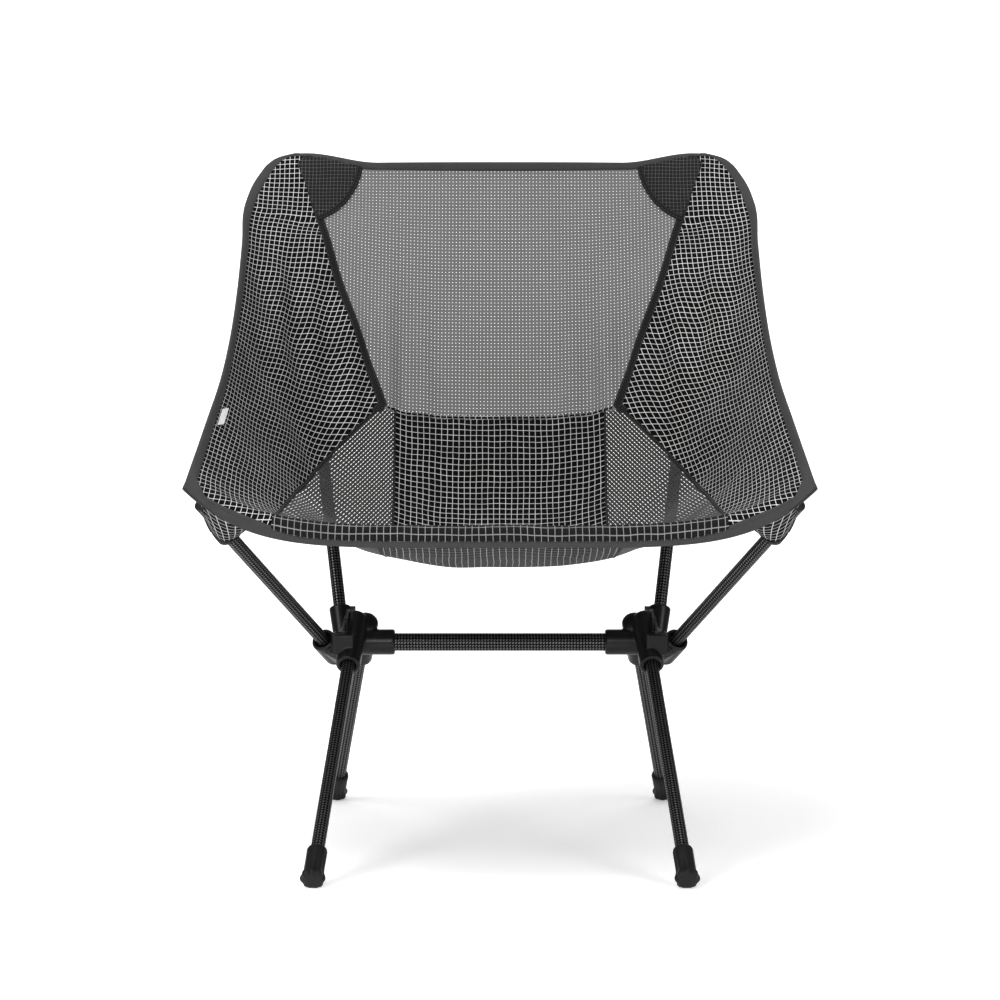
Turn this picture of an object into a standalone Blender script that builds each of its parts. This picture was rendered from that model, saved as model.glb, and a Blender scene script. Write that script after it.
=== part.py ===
"""Ultralight backpacking chair: two moulded hubs on a crossbar hold four legs, two front arms and two
rear poles in sockets, and a sewn sling seat slips over the four pole tips.

Units are metres, +Z is up, the sitter faces -Y and the origin is on the ground at the chair's middle.
Points are given for the right-hand side (+X) and mirrored for the left."""

import math

import bmesh
import bpy
from mathutils import Matrix, Vector

# Overall layout, right-hand side
CROSSBAR_Y = 0.015
CROSSBAR_Z = 0.177
FRONT_LEG_MOUTH = Vector((0.1356, -0.0300, 0.1600))
FRONT_LEG_END = Vector((0.1527, -0.2316, 0.0055))
REAR_LEG_MOUTH = Vector((0.1295, 0.0550, 0.1590))
REAR_LEG_END = Vector((0.1629, 0.2190, 0.0047))
REAR_POLE_MOUTH = Vector((0.1475, 0.0440, 0.2065))
REAR_POLE_TIP = Vector((0.2085, 0.2280, 0.6300))
ARM_MOUTH = Vector((0.1590, -0.0200, 0.1830))
ARM_TIP = Vector((0.2455, -0.1930, 0.3105))

# Tubes
TUBE_R = 0.00575
TUBE_WALL = 0.0009
CROSSBAR_R = 0.0080
CROSSBAR_END_X = 0.1190
FERRULE_WALL = 0.0007
FERRULE_HALF = 0.022
REAR_POLE_SPLIT = 0.46
CORD_R = 0.0013
GAP = 0.0003
TUBE_SIDES = 16
CORD_SIDES = 8

# Hub
SOCKET_DEPTH = 0.034
LEG_BARREL_R = 0.0110
FRONT_BARREL_LENGTH = 0.060
REAR_BARREL_LENGTH = 0.052
POLE_SOCKET_R = 0.0100
POLE_SOCKET_LENGTH = 0.040
ARM_SOCKET_R = 0.0108
ARM_SOCKET_DEPTH = 0.030
ARM_COUNTERBORE_R = 0.0078
ARM_COUNTERBORE_DEPTH = 0.009
LEG_COUNTERBORE_R = 0.0072
LEG_COUNTERBORE_DEPTH = 0.003
DOME_SHARE = 0.6
GUSSET_ARM = [(0.004, 0.0098), (0.026, 0.0092)]
GUSSET_LEG = [(0.006, 0.0060), (0.026, 0.0085)]
SLEEVE_R = 0.0116
SLEEVE_START_X = 0.0955
HUB_CORE = Vector((0.1375, 0.012, 0.178))
HUB_CORE_SIZE = (0.0125, 0.024, 0.0145)
HUB_BLOCK = Vector((0.1405, -0.006, 0.1785))
HUB_BLOCK_SIZE = (0.019, 0.044, 0.018)
HUB_SIDES = 24

# Feet, measured up the leg's axis from the tread
FOOT_HEIGHT = 0.036
FOOT_LOBE_DEPTH = 0.05
FOOT_SLEEVE_R = 0.0085
FOOT_RIM_R = 0.0105
FOOT_FLOOR = 0.009
FOOT_LOBES = 8
FOOT_SIDES = 32

# Sling: thickness of each layer, and the width of the sewn bands as shares of the sling
CLOTH = 0.0008
TAPE = 0.0016
BINDING = 0.0024
SEAM_GAP = 0.003
BINDING_SHARE = 0.036
TAPE_SHARE = 0.036
FRONT_HEM_V = 0.018
FRONT_STRIP_V = 0.045
SEAT_BACK_V = 0.668
TOP_HEM_V = 0.986
SEAT_PANEL_U = 0.41
PATCH_LIFT = 0.0022
PATCH_CORNER = (0.900, 0.983)
PATCH_ON_SEAM = (0.755, 0.930)
PATCH_ON_HEM = (0.640, 0.983)
PATCH_BULGE = 0.9
PATCH_START = 0.12

# Sling centre line: place along the sling, y, z
CENTRE_LINE = [
    (0.000, -0.2090, 0.2762),
    (0.045, -0.2030, 0.2945),
    (0.120, -0.1550, 0.2840),
    (0.250, -0.0700, 0.2580),
    (0.380, 0.0150, 0.2460),
    (0.470, 0.0710, 0.2530),
    (0.550, 0.1090, 0.2920),
    (0.660, 0.1370, 0.3760),
    (0.780, 0.1590, 0.4580),
    (0.900, 0.1830, 0.5500),
    (1.000, 0.2000, 0.6296),
]
# Sling side edge: place along the sling, x, y, z
SIDE_EDGE = [
    (0.000, 0.2585, -0.2130, 0.3245),
    (0.120, 0.2565, -0.1650, 0.3460),
    (0.250, 0.2520, -0.1000, 0.3800),
    (0.380, 0.2475, -0.0280, 0.4180),
    (0.500, 0.2455, 0.0350, 0.4590),
    (0.620, 0.2450, 0.0880, 0.5030),
    (0.740, 0.2455, 0.1330, 0.5470),
    (0.860, 0.2465, 0.1750, 0.5880),
    (0.940, 0.2360, 0.2060, 0.6180),
    (0.965, 0.2285, 0.2135, 0.6285),
    (0.985, 0.2185, 0.2195, 0.6355),
    (1.000, 0.2045, 0.2245, 0.6395),
]
# How late the sling leaves its centre line towards its edge, forward and upward
FORWARD_POWER = [(0.0, 5.5), (0.06, 4.6), (0.3, 2.6), (0.5, 2.4), (0.7, 2.6), (1.0, 3.0)]
UPWARD_POWER = [(0.0, 5.5), (0.06, 4.6), (0.3, 3.2), (0.5, 3.0), (0.66, 3.3), (1.0, 3.3)]
SHOULDER_V = 0.90
SHOULDER_U = (0.58, 0.93)
# Seam between the middle panels and the side panels: place along the sling, share of its half-width
SEAT_SEAM = [
    (0.040, 0.722),
    (0.100, 0.729),
    (0.200, 0.750),
    (0.300, 0.749),
    (0.400, 0.739),
    (0.500, 0.698),
    (0.580, 0.624),
    (0.620, 0.562),
    (0.668, 0.460),
]
BACK_SEAM = [(0.668, 0.460), (0.80, 0.597), (0.92, 0.745), (1.00, 0.900)]

# Pockets over the pole tips
POCKET_LENGTH = 0.036
POCKET_BORE_R = 0.0066
POCKET_TIP_R = 0.0074
POCKET_MOUTH_R = 0.0086
POCKET_WALL = 0.0008
POCKET_ROOF = 0.0045
CAP_LENGTH = 0.010
CAP_DOME = 0.0030

SIDES = {"left": -1, "right": 1}
HALF_GAP = SEAM_GAP / 2
SIDE_OUTER = 1.0 - BINDING_SHARE
SIDE_TIP = 0.012
TAPE_FADE_V = 0.60
FRONT_CORNER_U = 0.895
TOP_CORNER_U = 0.880
TOP_CORNER_V = 0.955
PARTS = "ultralight_chair"
CUTTERS = "cutters"


def clear_scene():
    """Empty the scene, so that the script can run in any open file."""
    for item in list(bpy.data.objects):
        bpy.data.objects.remove(item, do_unlink=True)


def collection(name):
    """The named collection, linked to the scene."""
    found = bpy.data.collections.get(name) or bpy.data.collections.new(name)
    if name not in bpy.context.scene.collection.children:
        bpy.context.scene.collection.children.link(found)
    return found


def material(name, colour, roughness, metallic=0.0):
    """A Principled material made once for each name."""
    found = bpy.data.materials.get(name)
    if found:
        return found
    made = bpy.data.materials.new(name)
    made.use_nodes = True
    shader = made.node_tree.nodes["Principled BSDF"]
    shader.inputs["Base Color"].default_value = (*colour, 1.0)
    shader.inputs["Roughness"].default_value = roughness
    shader.inputs["Metallic"].default_value = metallic
    return made


def carbon():
    return material("carbon_tube", (0.012, 0.012, 0.013), 0.25)


def moulded():
    return material("hub_plastic", (0.014, 0.014, 0.015), 0.45)


def rubber():
    return material("foot_rubber", (0.018, 0.018, 0.018), 0.75)


def alloy():
    return material("ferrule_alloy", (0.62, 0.63, 0.65), 0.35, 1.0)


def elastic():
    return material("shock_cord", (0.03, 0.03, 0.03), 0.8)


def ripstop():
    return material("ripstop", (0.045, 0.045, 0.047), 0.8)


def mesh_cloth():
    return material("open_mesh", (0.16, 0.16, 0.165), 0.85)


def binding_tape():
    return material("binding_tape", (0.035, 0.035, 0.037), 0.85)


def mirrored(point, side):
    """A right-hand point, on the side asked for."""
    return Vector((point.x * side, point.y, point.z))


def turned_mesh(name, profile, steps, closed=False):
    """Mesh turned about Z from (radius, height) points; a closed profile makes a ring or tube."""
    bm = bmesh.new()
    points = [bm.verts.new((radius, 0.0, height)) for radius, height in profile]
    pairs = list(zip(points, points[1:]))
    if closed:
        pairs.append((points[-1], points[0]))
    edges = [bm.edges.new(pair) for pair in pairs]
    bmesh.ops.spin(
        bm, geom=points + edges, cent=(0, 0, 0), axis=(0, 0, 1), angle=math.tau, steps=steps, use_merge=True
    )
    bmesh.ops.remove_doubles(bm, verts=bm.verts[:], dist=1e-6)
    bmesh.ops.recalc_face_normals(bm, faces=bm.faces[:])
    mesh = bpy.data.meshes.new(name)
    bm.to_mesh(mesh)
    bm.free()
    mesh.shade_smooth()
    mesh.set_sharp_from_angle(angle=math.radians(35))
    return mesh


def place(name, mesh, start, end, look, group=PARTS):
    """An object for a mesh made about Z, standing at start and pointing to end."""
    item = bpy.data.objects.new(name, mesh)
    collection(group).objects.link(item)
    item.rotation_mode = "QUATERNION"
    item.rotation_quaternion = (end - start).to_track_quat("Z", "Y")
    item.location = start
    if look:
        mesh.materials.append(look)
    return item


def tube(name, start, end, radius, wall, look):
    """A hollow round tube from start to end."""
    length = (end - start).length
    profile = [(radius, length), (radius, 0.0), (radius - wall, 0.0), (radius - wall, length)]
    return place(name, turned_mesh(name, profile, TUBE_SIDES, closed=True), start, end, look)


def rod(name, start, end, radius, look):
    """A solid round rod from start to end."""
    length = (end - start).length
    profile = [(0.0, length), (radius, length), (radius, 0.0), (0.0, 0.0)]
    return place(name, turned_mesh(name, profile, CORD_SIDES), start, end, look)


def along(start, end, distance):
    """The point at a distance from start on the way to end."""
    return start + (end - start).normalized() * distance


def as_guide(item):
    """Mark an object as a Boolean's guide, which isn't part of the model."""
    item.hide_render = True
    item.display_type = "WIRE"
    return item


def guide(name, mesh):
    """A guide for a Boolean from a mesh that is already in place."""
    item = bpy.data.objects.new(name, mesh)
    collection(CUTTERS).objects.link(item)
    return as_guide(item)


def cutter(name, profile, steps, start, end):
    """A turned guide for a Boolean."""
    return as_guide(place(name, turned_mesh(name, profile, steps), start, end, None, CUTTERS))


def shape(target, tool, operation):
    """Join the tool to the target, or cut the target with it."""
    modifier = target.modifiers.new(tool.name, "BOOLEAN")
    modifier.operation = operation
    modifier.object = tool


def barrel_profile(radius, length):
    """A socket's outside: a flat mouth at the bottom and a domed closed end."""
    steps = 5
    dome = []
    for step in range(steps + 1):
        turn = math.pi / 2 * step / steps
        dome.append((radius * math.sin(turn), length + DOME_SHARE * radius * math.cos(turn)))
    return dome + [(radius, 0.0), (0.0, 0.0)]


def bore_profile(radius, depth, counterbore_radius, counterbore_depth):
    """A stepped bore that starts outside its mouth and runs inward."""
    outside = -0.02
    return [
        (0.0, depth),
        (radius, depth),
        (radius, counterbore_depth),
        (counterbore_radius, counterbore_depth),
        (counterbore_radius, outside),
        (0.0, outside),
    ]


def gusset(name, side):
    """The web under the arm socket, a hull between it and the front leg's barrel."""
    ring_sides = 12
    bm = bmesh.new()
    for mouth, far, rings in ((ARM_MOUTH, ARM_TIP, GUSSET_ARM), (FRONT_LEG_MOUTH, FRONT_LEG_END, GUSSET_LEG)):
        inward = (mouth - far).normalized()
        turn = inward.to_track_quat("Z", "Y")
        for depth, radius in rings:
            for step in range(ring_sides):
                angle = math.tau * step / ring_sides
                spoke = turn @ Vector((math.cos(angle), math.sin(angle), 0.0))
                bm.verts.new(mirrored(mouth + inward * depth + spoke * radius, side))
    hull = bmesh.ops.convex_hull(bm, input=bm.verts[:])
    bmesh.ops.delete(bm, geom=[g for g in hull["geom_interior"] if isinstance(g, bmesh.types.BMVert)])
    bmesh.ops.recalc_face_normals(bm, faces=bm.faces[:])
    mesh = bpy.data.meshes.new(name)
    bm.to_mesh(mesh)
    bm.free()
    return guide(name, mesh)


def hub_block(name, side):
    """The square web that ties the arm socket to the front leg's barrel."""
    bm = bmesh.new()
    place_and_size = Matrix.Translation(mirrored(HUB_BLOCK, side)) @ Matrix.Diagonal((*HUB_BLOCK_SIZE, 1.0))
    bmesh.ops.create_cube(bm, size=1.0, matrix=place_and_size)
    mesh = bpy.data.meshes.new(name)
    bm.to_mesh(mesh)
    bm.free()
    return guide(name, mesh)


def make_hub(word, side):
    """One moulded hub: a core with two leg barrels, an arm socket, a pole socket and a crossbar sleeve."""
    core = mirrored(HUB_CORE, side)
    bm = bmesh.new()
    scale = Matrix.Diagonal((*HUB_CORE_SIZE, 1.0))
    bmesh.ops.create_uvsphere(bm, u_segments=16, v_segments=10, radius=1.0, matrix=scale)
    mesh = bpy.data.meshes.new(f"hub_{word}")
    bm.to_mesh(mesh)
    bm.free()
    mesh.shade_smooth()
    mesh.materials.append(moulded())
    hub = bpy.data.objects.new(f"hub_{word}", mesh)
    collection(PARTS).objects.link(hub)
    hub.location = core

    sockets = {
        "front_leg": (FRONT_LEG_MOUTH, FRONT_LEG_END, LEG_BARREL_R, FRONT_BARREL_LENGTH),
        "rear_leg": (REAR_LEG_MOUTH, REAR_LEG_END, LEG_BARREL_R, REAR_BARREL_LENGTH),
        "rear_pole": (REAR_POLE_MOUTH, REAR_POLE_TIP, POLE_SOCKET_R, POLE_SOCKET_LENGTH),
        "arm": (ARM_MOUTH, ARM_TIP, ARM_SOCKET_R, ARM_SOCKET_DEPTH),
    }
    for use, (mouth, far, radius, length) in sockets.items():
        start = mirrored(mouth, side)
        inward = start * 2 - mirrored(far, side)
        profile = barrel_profile(radius, length)
        shape(hub, cutter(f"{use}_barrel_{word}", profile, HUB_SIDES, start, inward), "UNION")
    shape(hub, gusset(f"gusset_{word}", side), "UNION")
    shape(hub, hub_block(f"block_{word}", side), "UNION")

    sleeve_start = Vector((SLEEVE_START_X * side, CROSSBAR_Y, CROSSBAR_Z))
    sleeve_end = Vector((HUB_CORE.x * side, CROSSBAR_Y, CROSSBAR_Z))
    sleeve = [(0.0, abs(sleeve_end.x - sleeve_start.x)), (SLEEVE_R, abs(sleeve_end.x - sleeve_start.x))]
    sleeve += [(SLEEVE_R, 0.0), (0.0, 0.0)]
    shape(hub, cutter(f"sleeve_{word}", sleeve, HUB_SIDES, sleeve_start, sleeve_end), "UNION")

    bores = {
        "front_leg": (FRONT_LEG_MOUTH, FRONT_LEG_END, SOCKET_DEPTH, LEG_COUNTERBORE_R, LEG_COUNTERBORE_DEPTH),
        "rear_leg": (REAR_LEG_MOUTH, REAR_LEG_END, SOCKET_DEPTH, LEG_COUNTERBORE_R, LEG_COUNTERBORE_DEPTH),
        "rear_pole": (REAR_POLE_MOUTH, REAR_POLE_TIP, SOCKET_DEPTH, LEG_COUNTERBORE_R, LEG_COUNTERBORE_DEPTH),
        "arm": (ARM_MOUTH, ARM_TIP, ARM_SOCKET_DEPTH - 0.002, ARM_COUNTERBORE_R, ARM_COUNTERBORE_DEPTH),
    }
    for use, (mouth, far, depth, wide, wide_depth) in bores.items():
        start = mirrored(mouth, side)
        inward = start * 2 - mirrored(far, side)
        profile = bore_profile(TUBE_R + GAP, depth, wide, wide_depth)
        shape(hub, cutter(f"{use}_bore_{word}", profile, TUBE_SIDES, start, inward), "DIFFERENCE")
    bore_length = CROSSBAR_END_X + GAP - SLEEVE_START_X
    bore = [(0.0, bore_length), (CROSSBAR_R + GAP, bore_length), (CROSSBAR_R + GAP, -0.02), (0.0, -0.02)]
    shape(hub, cutter(f"crossbar_bore_{word}", bore, TUBE_SIDES, sleeve_start, sleeve_end), "DIFFERENCE")
    return hub


def make_crossbar():
    """The fat tube that ties the two hubs together."""
    start = Vector((-CROSSBAR_END_X, CROSSBAR_Y, CROSSBAR_Z))
    end = Vector((CROSSBAR_END_X, CROSSBAR_Y, CROSSBAR_Z))
    tube("crossbar", start, end, CROSSBAR_R, TUBE_WALL, carbon())


def foot_profile():
    """The rubber boot, from the top of its bore down the outside to the tread, and back up the bore."""
    bore = TUBE_R + GAP
    return [
        (bore, FOOT_HEIGHT),
        (FOOT_SLEEVE_R - 0.0015, FOOT_HEIGHT),
        (FOOT_SLEEVE_R, FOOT_HEIGHT - 0.0020),
        (FOOT_SLEEVE_R, 0.0110),
        (FOOT_RIM_R, 0.0062),
        (FOOT_RIM_R, 0.0028),
        (FOOT_RIM_R - 0.0025, 0.0006),
        (0.0, 0.0),
    ] + [(0.0, FOOT_FLOOR), (bore, FOOT_FLOOR)]


def make_foot(name, end, top, side):
    """A boot with a lobed rim, worn flat where it stands on the ground."""
    start = mirrored(end, side)
    aim = mirrored(top, side)
    mesh = turned_mesh(name, foot_profile(), FOOT_SIDES, closed=True)
    turn = (aim - start).to_track_quat("Z", "Y")
    bm = bmesh.new()
    bm.from_mesh(mesh)
    for vert in bm.verts:
        radius = math.hypot(vert.co.x, vert.co.y)
        if radius > FOOT_SLEEVE_R + 0.0001:
            turned = math.atan2(vert.co.y, vert.co.x)
            lobe = 1.0 - FOOT_LOBE_DEPTH * (1.0 - math.cos(FOOT_LOBES * turned)) / 2.0
            vert.co.x *= lobe
            vert.co.y *= lobe
    level = turn.inverted() @ Vector((0.0, 0.0, 1.0))
    ground = turn.inverted() @ Vector((0.0, 0.0, -start.z))
    geometry = bm.verts[:] + bm.edges[:] + bm.faces[:]
    cut = bmesh.ops.bisect_plane(bm, geom=geometry, plane_co=ground, plane_no=level, clear_inner=True)
    rim = [item for item in cut["geom_cut"] if isinstance(item, bmesh.types.BMEdge)]
    bmesh.ops.contextual_create(bm, geom=rim)
    bmesh.ops.triangulate(bm, faces=bm.faces[:])
    bmesh.ops.recalc_face_normals(bm, faces=bm.faces[:])
    bm.to_mesh(mesh)
    bm.free()
    return place(name, mesh, start, aim, rubber())


def make_leg(place_word, word, side, mouth, end):
    """A leg tube in its socket, with its boot and the shock cord inside it."""
    inner = along(mouth, end, -(SOCKET_DEPTH - GAP))
    low = along(end, mouth, FOOT_FLOOR + GAP)
    tube(f"{place_word}_leg_{word}", mirrored(low, side), mirrored(inner, side), TUBE_R, TUBE_WALL, carbon())
    make_foot(f"{place_word}_foot_{word}", end, mouth, side)
    cord_low = along(end, mouth, FOOT_FLOOR + 2 * GAP)
    cord_top = along(mouth, end, -(SOCKET_DEPTH - 2 * GAP))
    rod(f"{place_word}_leg_cord_{word}", mirrored(cord_low, side), mirrored(cord_top, side), CORD_R, elastic())


def make_cap(name, tip, base, side):
    """A domed plug in the open end of a pole; tip is the pole's end."""
    radius = TUBE_R - TUBE_WALL - GAP
    profile = [
        (0.0, GAP + CAP_DOME),
        (TUBE_R * 0.6, GAP + CAP_DOME * 0.83),
        (TUBE_R, GAP + CAP_DOME / 3),
        (TUBE_R, GAP),
        (radius, GAP),
        (radius, -CAP_LENGTH),
        (0.0, -CAP_LENGTH),
    ]
    start = mirrored(tip, side)
    return place(name, turned_mesh(name, profile, TUBE_SIDES), start, start * 2 - mirrored(base, side), moulded())


def make_arm(word, side):
    """The front arm: one tube from the hub to the seat's front corner."""
    inner = along(ARM_MOUTH, ARM_TIP, -(ARM_SOCKET_DEPTH - 0.002 - GAP))
    tube(f"front_arm_{word}", mirrored(inner, side), mirrored(ARM_TIP, side), TUBE_R, TUBE_WALL, carbon())
    make_cap(f"front_arm_cap_{word}", ARM_TIP, ARM_MOUTH, side)
    cord_start = along(inner, ARM_TIP, GAP)
    cord_end = along(ARM_TIP, ARM_MOUTH, CAP_LENGTH + GAP)
    rod(f"front_arm_cord_{word}", mirrored(cord_start, side), mirrored(cord_end, side), CORD_R, elastic())


def make_rear_pole(word, side):
    """The rear pole: two tubes meeting on an inner ferrule, from the hub to the seat's top corner."""
    inner = along(REAR_POLE_MOUTH, REAR_POLE_TIP, -(SOCKET_DEPTH - GAP))
    reach = (REAR_POLE_TIP - REAR_POLE_MOUTH).length
    split = along(REAR_POLE_MOUTH, REAR_POLE_TIP, reach * REAR_POLE_SPLIT)
    upper_start = along(split, REAR_POLE_TIP, GAP)
    tube(f"rear_pole_lower_{word}", mirrored(inner, side), mirrored(split, side), TUBE_R, TUBE_WALL, carbon())
    tip = mirrored(REAR_POLE_TIP, side)
    tube(f"rear_pole_upper_{word}", mirrored(upper_start, side), tip, TUBE_R, TUBE_WALL, carbon())
    ferrule_start = mirrored(along(split, REAR_POLE_MOUTH, FERRULE_HALF), side)
    ferrule_end = mirrored(along(split, REAR_POLE_TIP, FERRULE_HALF), side)
    ferrule_r = TUBE_R - TUBE_WALL - GAP
    tube(f"rear_pole_ferrule_{word}", ferrule_start, ferrule_end, ferrule_r, FERRULE_WALL, alloy())
    make_cap(f"rear_pole_cap_{word}", REAR_POLE_TIP, REAR_POLE_MOUTH, side)
    cord_start = along(inner, REAR_POLE_TIP, GAP)
    cord_end = along(REAR_POLE_TIP, REAR_POLE_MOUTH, CAP_LENGTH + GAP)
    rod(f"rear_pole_cord_{word}", mirrored(cord_start, side), mirrored(cord_end, side), CORD_R, elastic())


def smooth_through(points, place_on):
    """Smooth curve through (place, values...) points, read at a place."""
    last = len(points) - 1
    index = 0
    while index < last - 1 and place_on > points[index + 1][0]:
        index += 1

    def slope(i, k):
        if i == 0:
            return (points[1][k] - points[0][k]) / (points[1][0] - points[0][0])
        if i == last:
            return (points[last][k] - points[last - 1][k]) / (points[last][0] - points[last - 1][0])
        before = points[i][0] - points[i - 1][0]
        after = points[i + 1][0] - points[i][0]
        rise_before = (points[i][k] - points[i - 1][k]) / before
        rise_after = (points[i + 1][k] - points[i][k]) / after
        return (after * rise_before + before * rise_after) / (before + after)

    start = points[index]
    stop = points[index + 1]
    step = stop[0] - start[0]
    t = (place_on - start[0]) / step
    values = []
    for k in range(1, len(start)):
        values.append(
            (2 * t**3 - 3 * t**2 + 1) * start[k]
            + (t**3 - 2 * t**2 + t) * step * slope(index, k)
            + (3 * t**2 - 2 * t**3) * stop[k]
            + (t**3 - t**2) * step * slope(index + 1, k)
        )
    return values


def straight_through(points, place_on):
    """Straight runs through (place, value) points, read at a place."""
    for (start, low), (stop, high) in zip(points, points[1:]):
        if place_on <= stop:
            return low + (high - low) * (place_on - start) / (stop - start)
    return points[-1][1]


def soft_step(value, low, high):
    """0 below low and 1 above high, with soft ends."""
    share = min(max((value - low) / (high - low), 0.0), 1.0)
    return share * share * (3.0 - 2.0 * share)


def sling(u, v):
    """A point of the sling: u runs -1 to 1 across it, v runs 0 at the front hem to 1 at the top hem."""
    y_middle, z_middle = smooth_through(CENTRE_LINE, v)
    x_edge, y_edge, z_edge = smooth_through(SIDE_EDGE, v)
    forward = abs(u) ** straight_through(FORWARD_POWER, v)
    upward = abs(u) ** straight_through(UPWARD_POWER, v)
    shoulder = soft_step(v, SHOULDER_V, 1.0)
    upward += (soft_step(abs(u), *SHOULDER_U) - upward) * shoulder
    return Vector((x_edge * u, y_middle + (y_edge - y_middle) * forward, z_middle + (z_edge - z_middle) * upward))


def sling_normal(u, v):
    """The sling's direction towards the sitter."""
    step = 0.004
    low_v = min(v, 1.0 - step)
    across = sling(min(u + step, 1.0), low_v) - sling(max(u - step, -1.0), low_v)
    upward = sling(u, low_v + step) - sling(u, max(low_v - step, 0.0))
    return across.cross(upward).normalized()


def seam(v):
    """Where the side panel's seam runs, as a share of the half-width."""
    points = SEAT_SEAM if v < SEAT_BACK_V else BACK_SEAM
    return smooth_through(points, max(v, points[0][0]))[0]


def even(start, stop, steps):
    """Evenly spaced levels from start to stop."""
    return [start + (stop - start) * step / steps for step in range(steps + 1)]


def read_level(levels, share):
    """The level at a share of the way through the list, between its neighbours where it falls between them."""
    place_on = share * (len(levels) - 1)
    index = min(int(place_on + 1e-6), len(levels) - 2)
    return levels[index] + (levels[index + 1] - levels[index]) * (place_on - index)


def cloth(name, chart, columns, rows, thickness, look, lift=0.0):
    """A closed cloth panel: chart turns (0 to 1, 0 to 1) into the sling's (u, v)."""
    bm = bmesh.new()
    bmesh.ops.create_grid(bm, x_segments=columns, y_segments=rows, size=0.5)
    for vert in bm.verts:
        u, v = chart(vert.co.x + 0.5, vert.co.y + 0.5)
        vert.co = sling(u, v) + sling_normal(u, v) * lift
    mesh = bpy.data.meshes.new(name)
    bm.to_mesh(mesh)
    bm.free()
    mesh.shade_smooth()
    mesh.materials.append(look)
    item = bpy.data.objects.new(name, mesh)
    collection(PARTS).objects.link(item)
    solid = item.modifiers.new("thickness", "SOLIDIFY")
    solid.thickness = thickness
    solid.offset = 0.0
    return item


def cross_band(name, u_levels, v_levels, thickness, look):
    """A panel that crosses the middle, with straight ends."""

    def chart(s, t):
        return read_level(u_levels, s), read_level(v_levels, t)

    return cloth(name, chart, len(u_levels) - 1, len(v_levels) - 1, thickness, look)


def long_band(name, near_u, far_u, v_levels, columns, thickness, look, side=1):
    """A panel between two edges that are functions of v; side -1 mirrors it to the left."""

    def chart(s, t):
        v = read_level(v_levels, t)
        share = s if side > 0 else 1.0 - s
        return (near_u(v) + (far_u(v) - near_u(v)) * share) * side, v

    return cloth(name, chart, columns, len(v_levels) - 1, thickness, look)


def tape_half(v):
    """Half the seam tape's width: it fades out below the back, where the seam is bare."""
    return TAPE_SHARE / 2 * min(max((v - TAPE_FADE_V) / (SEAT_BACK_V - TAPE_FADE_V), 0.0), 1.0)


def mesh_outer(v):
    """The outer edge of the open mesh panels."""
    return seam(v) - tape_half(v) - HALF_GAP


def side_inner(v):
    """The inner edge of the side panels."""
    return min(seam(v) + tape_half(v) + HALF_GAP, SIDE_OUTER - SIDE_TIP)


def make_middle_cloths():
    """The panels and hems that cross the middle of the sling."""
    back_levels = [SEAT_BACK_V + HALF_GAP] + UPPER_LEVELS[1:]
    long_band("back_mesh_panel", lambda v: -mesh_outer(v), mesh_outer, back_levels, 10, CLOTH, mesh_cloth())
    seat_levels = LOWER_LEVELS[:-1] + [SEAT_BACK_V - HALF_GAP]
    cross_band("seat_panel", even(-SEAT_PANEL_U, SEAT_PANEL_U, 8), seat_levels, CLOTH, ripstop())
    hem_levels = even(-FRONT_CORNER_U, FRONT_CORNER_U, 24)
    strip_v = [FRONT_HEM_V + HALF_GAP, (FRONT_HEM_V + FRONT_STRIP_V) / 2, FRONT_STRIP_V - HALF_GAP]
    cross_band("front_strip", hem_levels, strip_v, CLOTH, ripstop())
    cross_band("front_binding", hem_levels, [0.0, FRONT_HEM_V - HALF_GAP], BINDING, binding_tape())
    top_levels = even(-TOP_CORNER_U, TOP_CORNER_U, 20)
    cross_band("top_binding", top_levels, [TOP_HEM_V + HALF_GAP, 1.0], BINDING, binding_tape())


def make_side_cloths(word, side):
    """The panels, tape and binding on one side of the sling."""

    def mesh_inner(v):
        return SEAT_PANEL_U + SEAM_GAP

    def panel_outer(v):
        return SIDE_OUTER

    def binding_inner(v):
        return SIDE_OUTER + SEAM_GAP

    def sling_edge(v):
        return 1.0

    def tape_inner(v):
        return seam(v) - tape_half(v)

    def tape_outer(v):
        if v > TOP_CORNER_V + SEAM_GAP * 1.5:
            return TOP_CORNER_U
        return min(seam(v) + tape_half(v), SIDE_OUTER - SIDE_TIP - HALF_GAP)

    seat_levels = LOWER_LEVELS[:-1] + [SEAT_BACK_V - HALF_GAP]
    side_levels = LOWER_LEVELS + UPPER_LEVELS[1:-1]
    long_band(f"seat_mesh_{word}", mesh_inner, mesh_outer, seat_levels, 3, CLOTH, mesh_cloth(), side)
    long_band(f"side_panel_{word}", side_inner, panel_outer, side_levels, 6, CLOTH, ripstop(), side)
    long_band(f"side_binding_{word}", binding_inner, sling_edge, side_levels, 1, BINDING, binding_tape(), side)
    tape_levels = UPPER_LEVELS[:-1] + [TOP_CORNER_V + SEAM_GAP, TOP_CORNER_V + SEAM_GAP * 2, UPPER_LEVELS[-1]]
    long_band(f"seam_tape_{word}", tape_inner, tape_outer, tape_levels, 1, TAPE, binding_tape(), side)


def make_patch(word, side):
    """The quarter-round reinforcement on the sling's top corner."""
    corner = Vector(PATCH_CORNER)
    on_seam = Vector(PATCH_ON_SEAM)
    on_hem = Vector(PATCH_ON_HEM)

    def chart(s, t):
        share = s if side < 0 else 1.0 - s
        reach = PATCH_START + (1.0 - PATCH_START) * t
        spread = 1.0 + PATCH_BULGE * share * (1.0 - share)
        point = corner + ((on_seam - corner) * share + (on_hem - corner) * (1.0 - share)) * reach * spread
        return point.x * side, min(point.y, TOP_HEM_V - SEAM_GAP)

    cloth(f"top_corner_patch_{word}", chart, 6, 5, CLOTH, binding_tape(), PATCH_LIFT)


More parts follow.
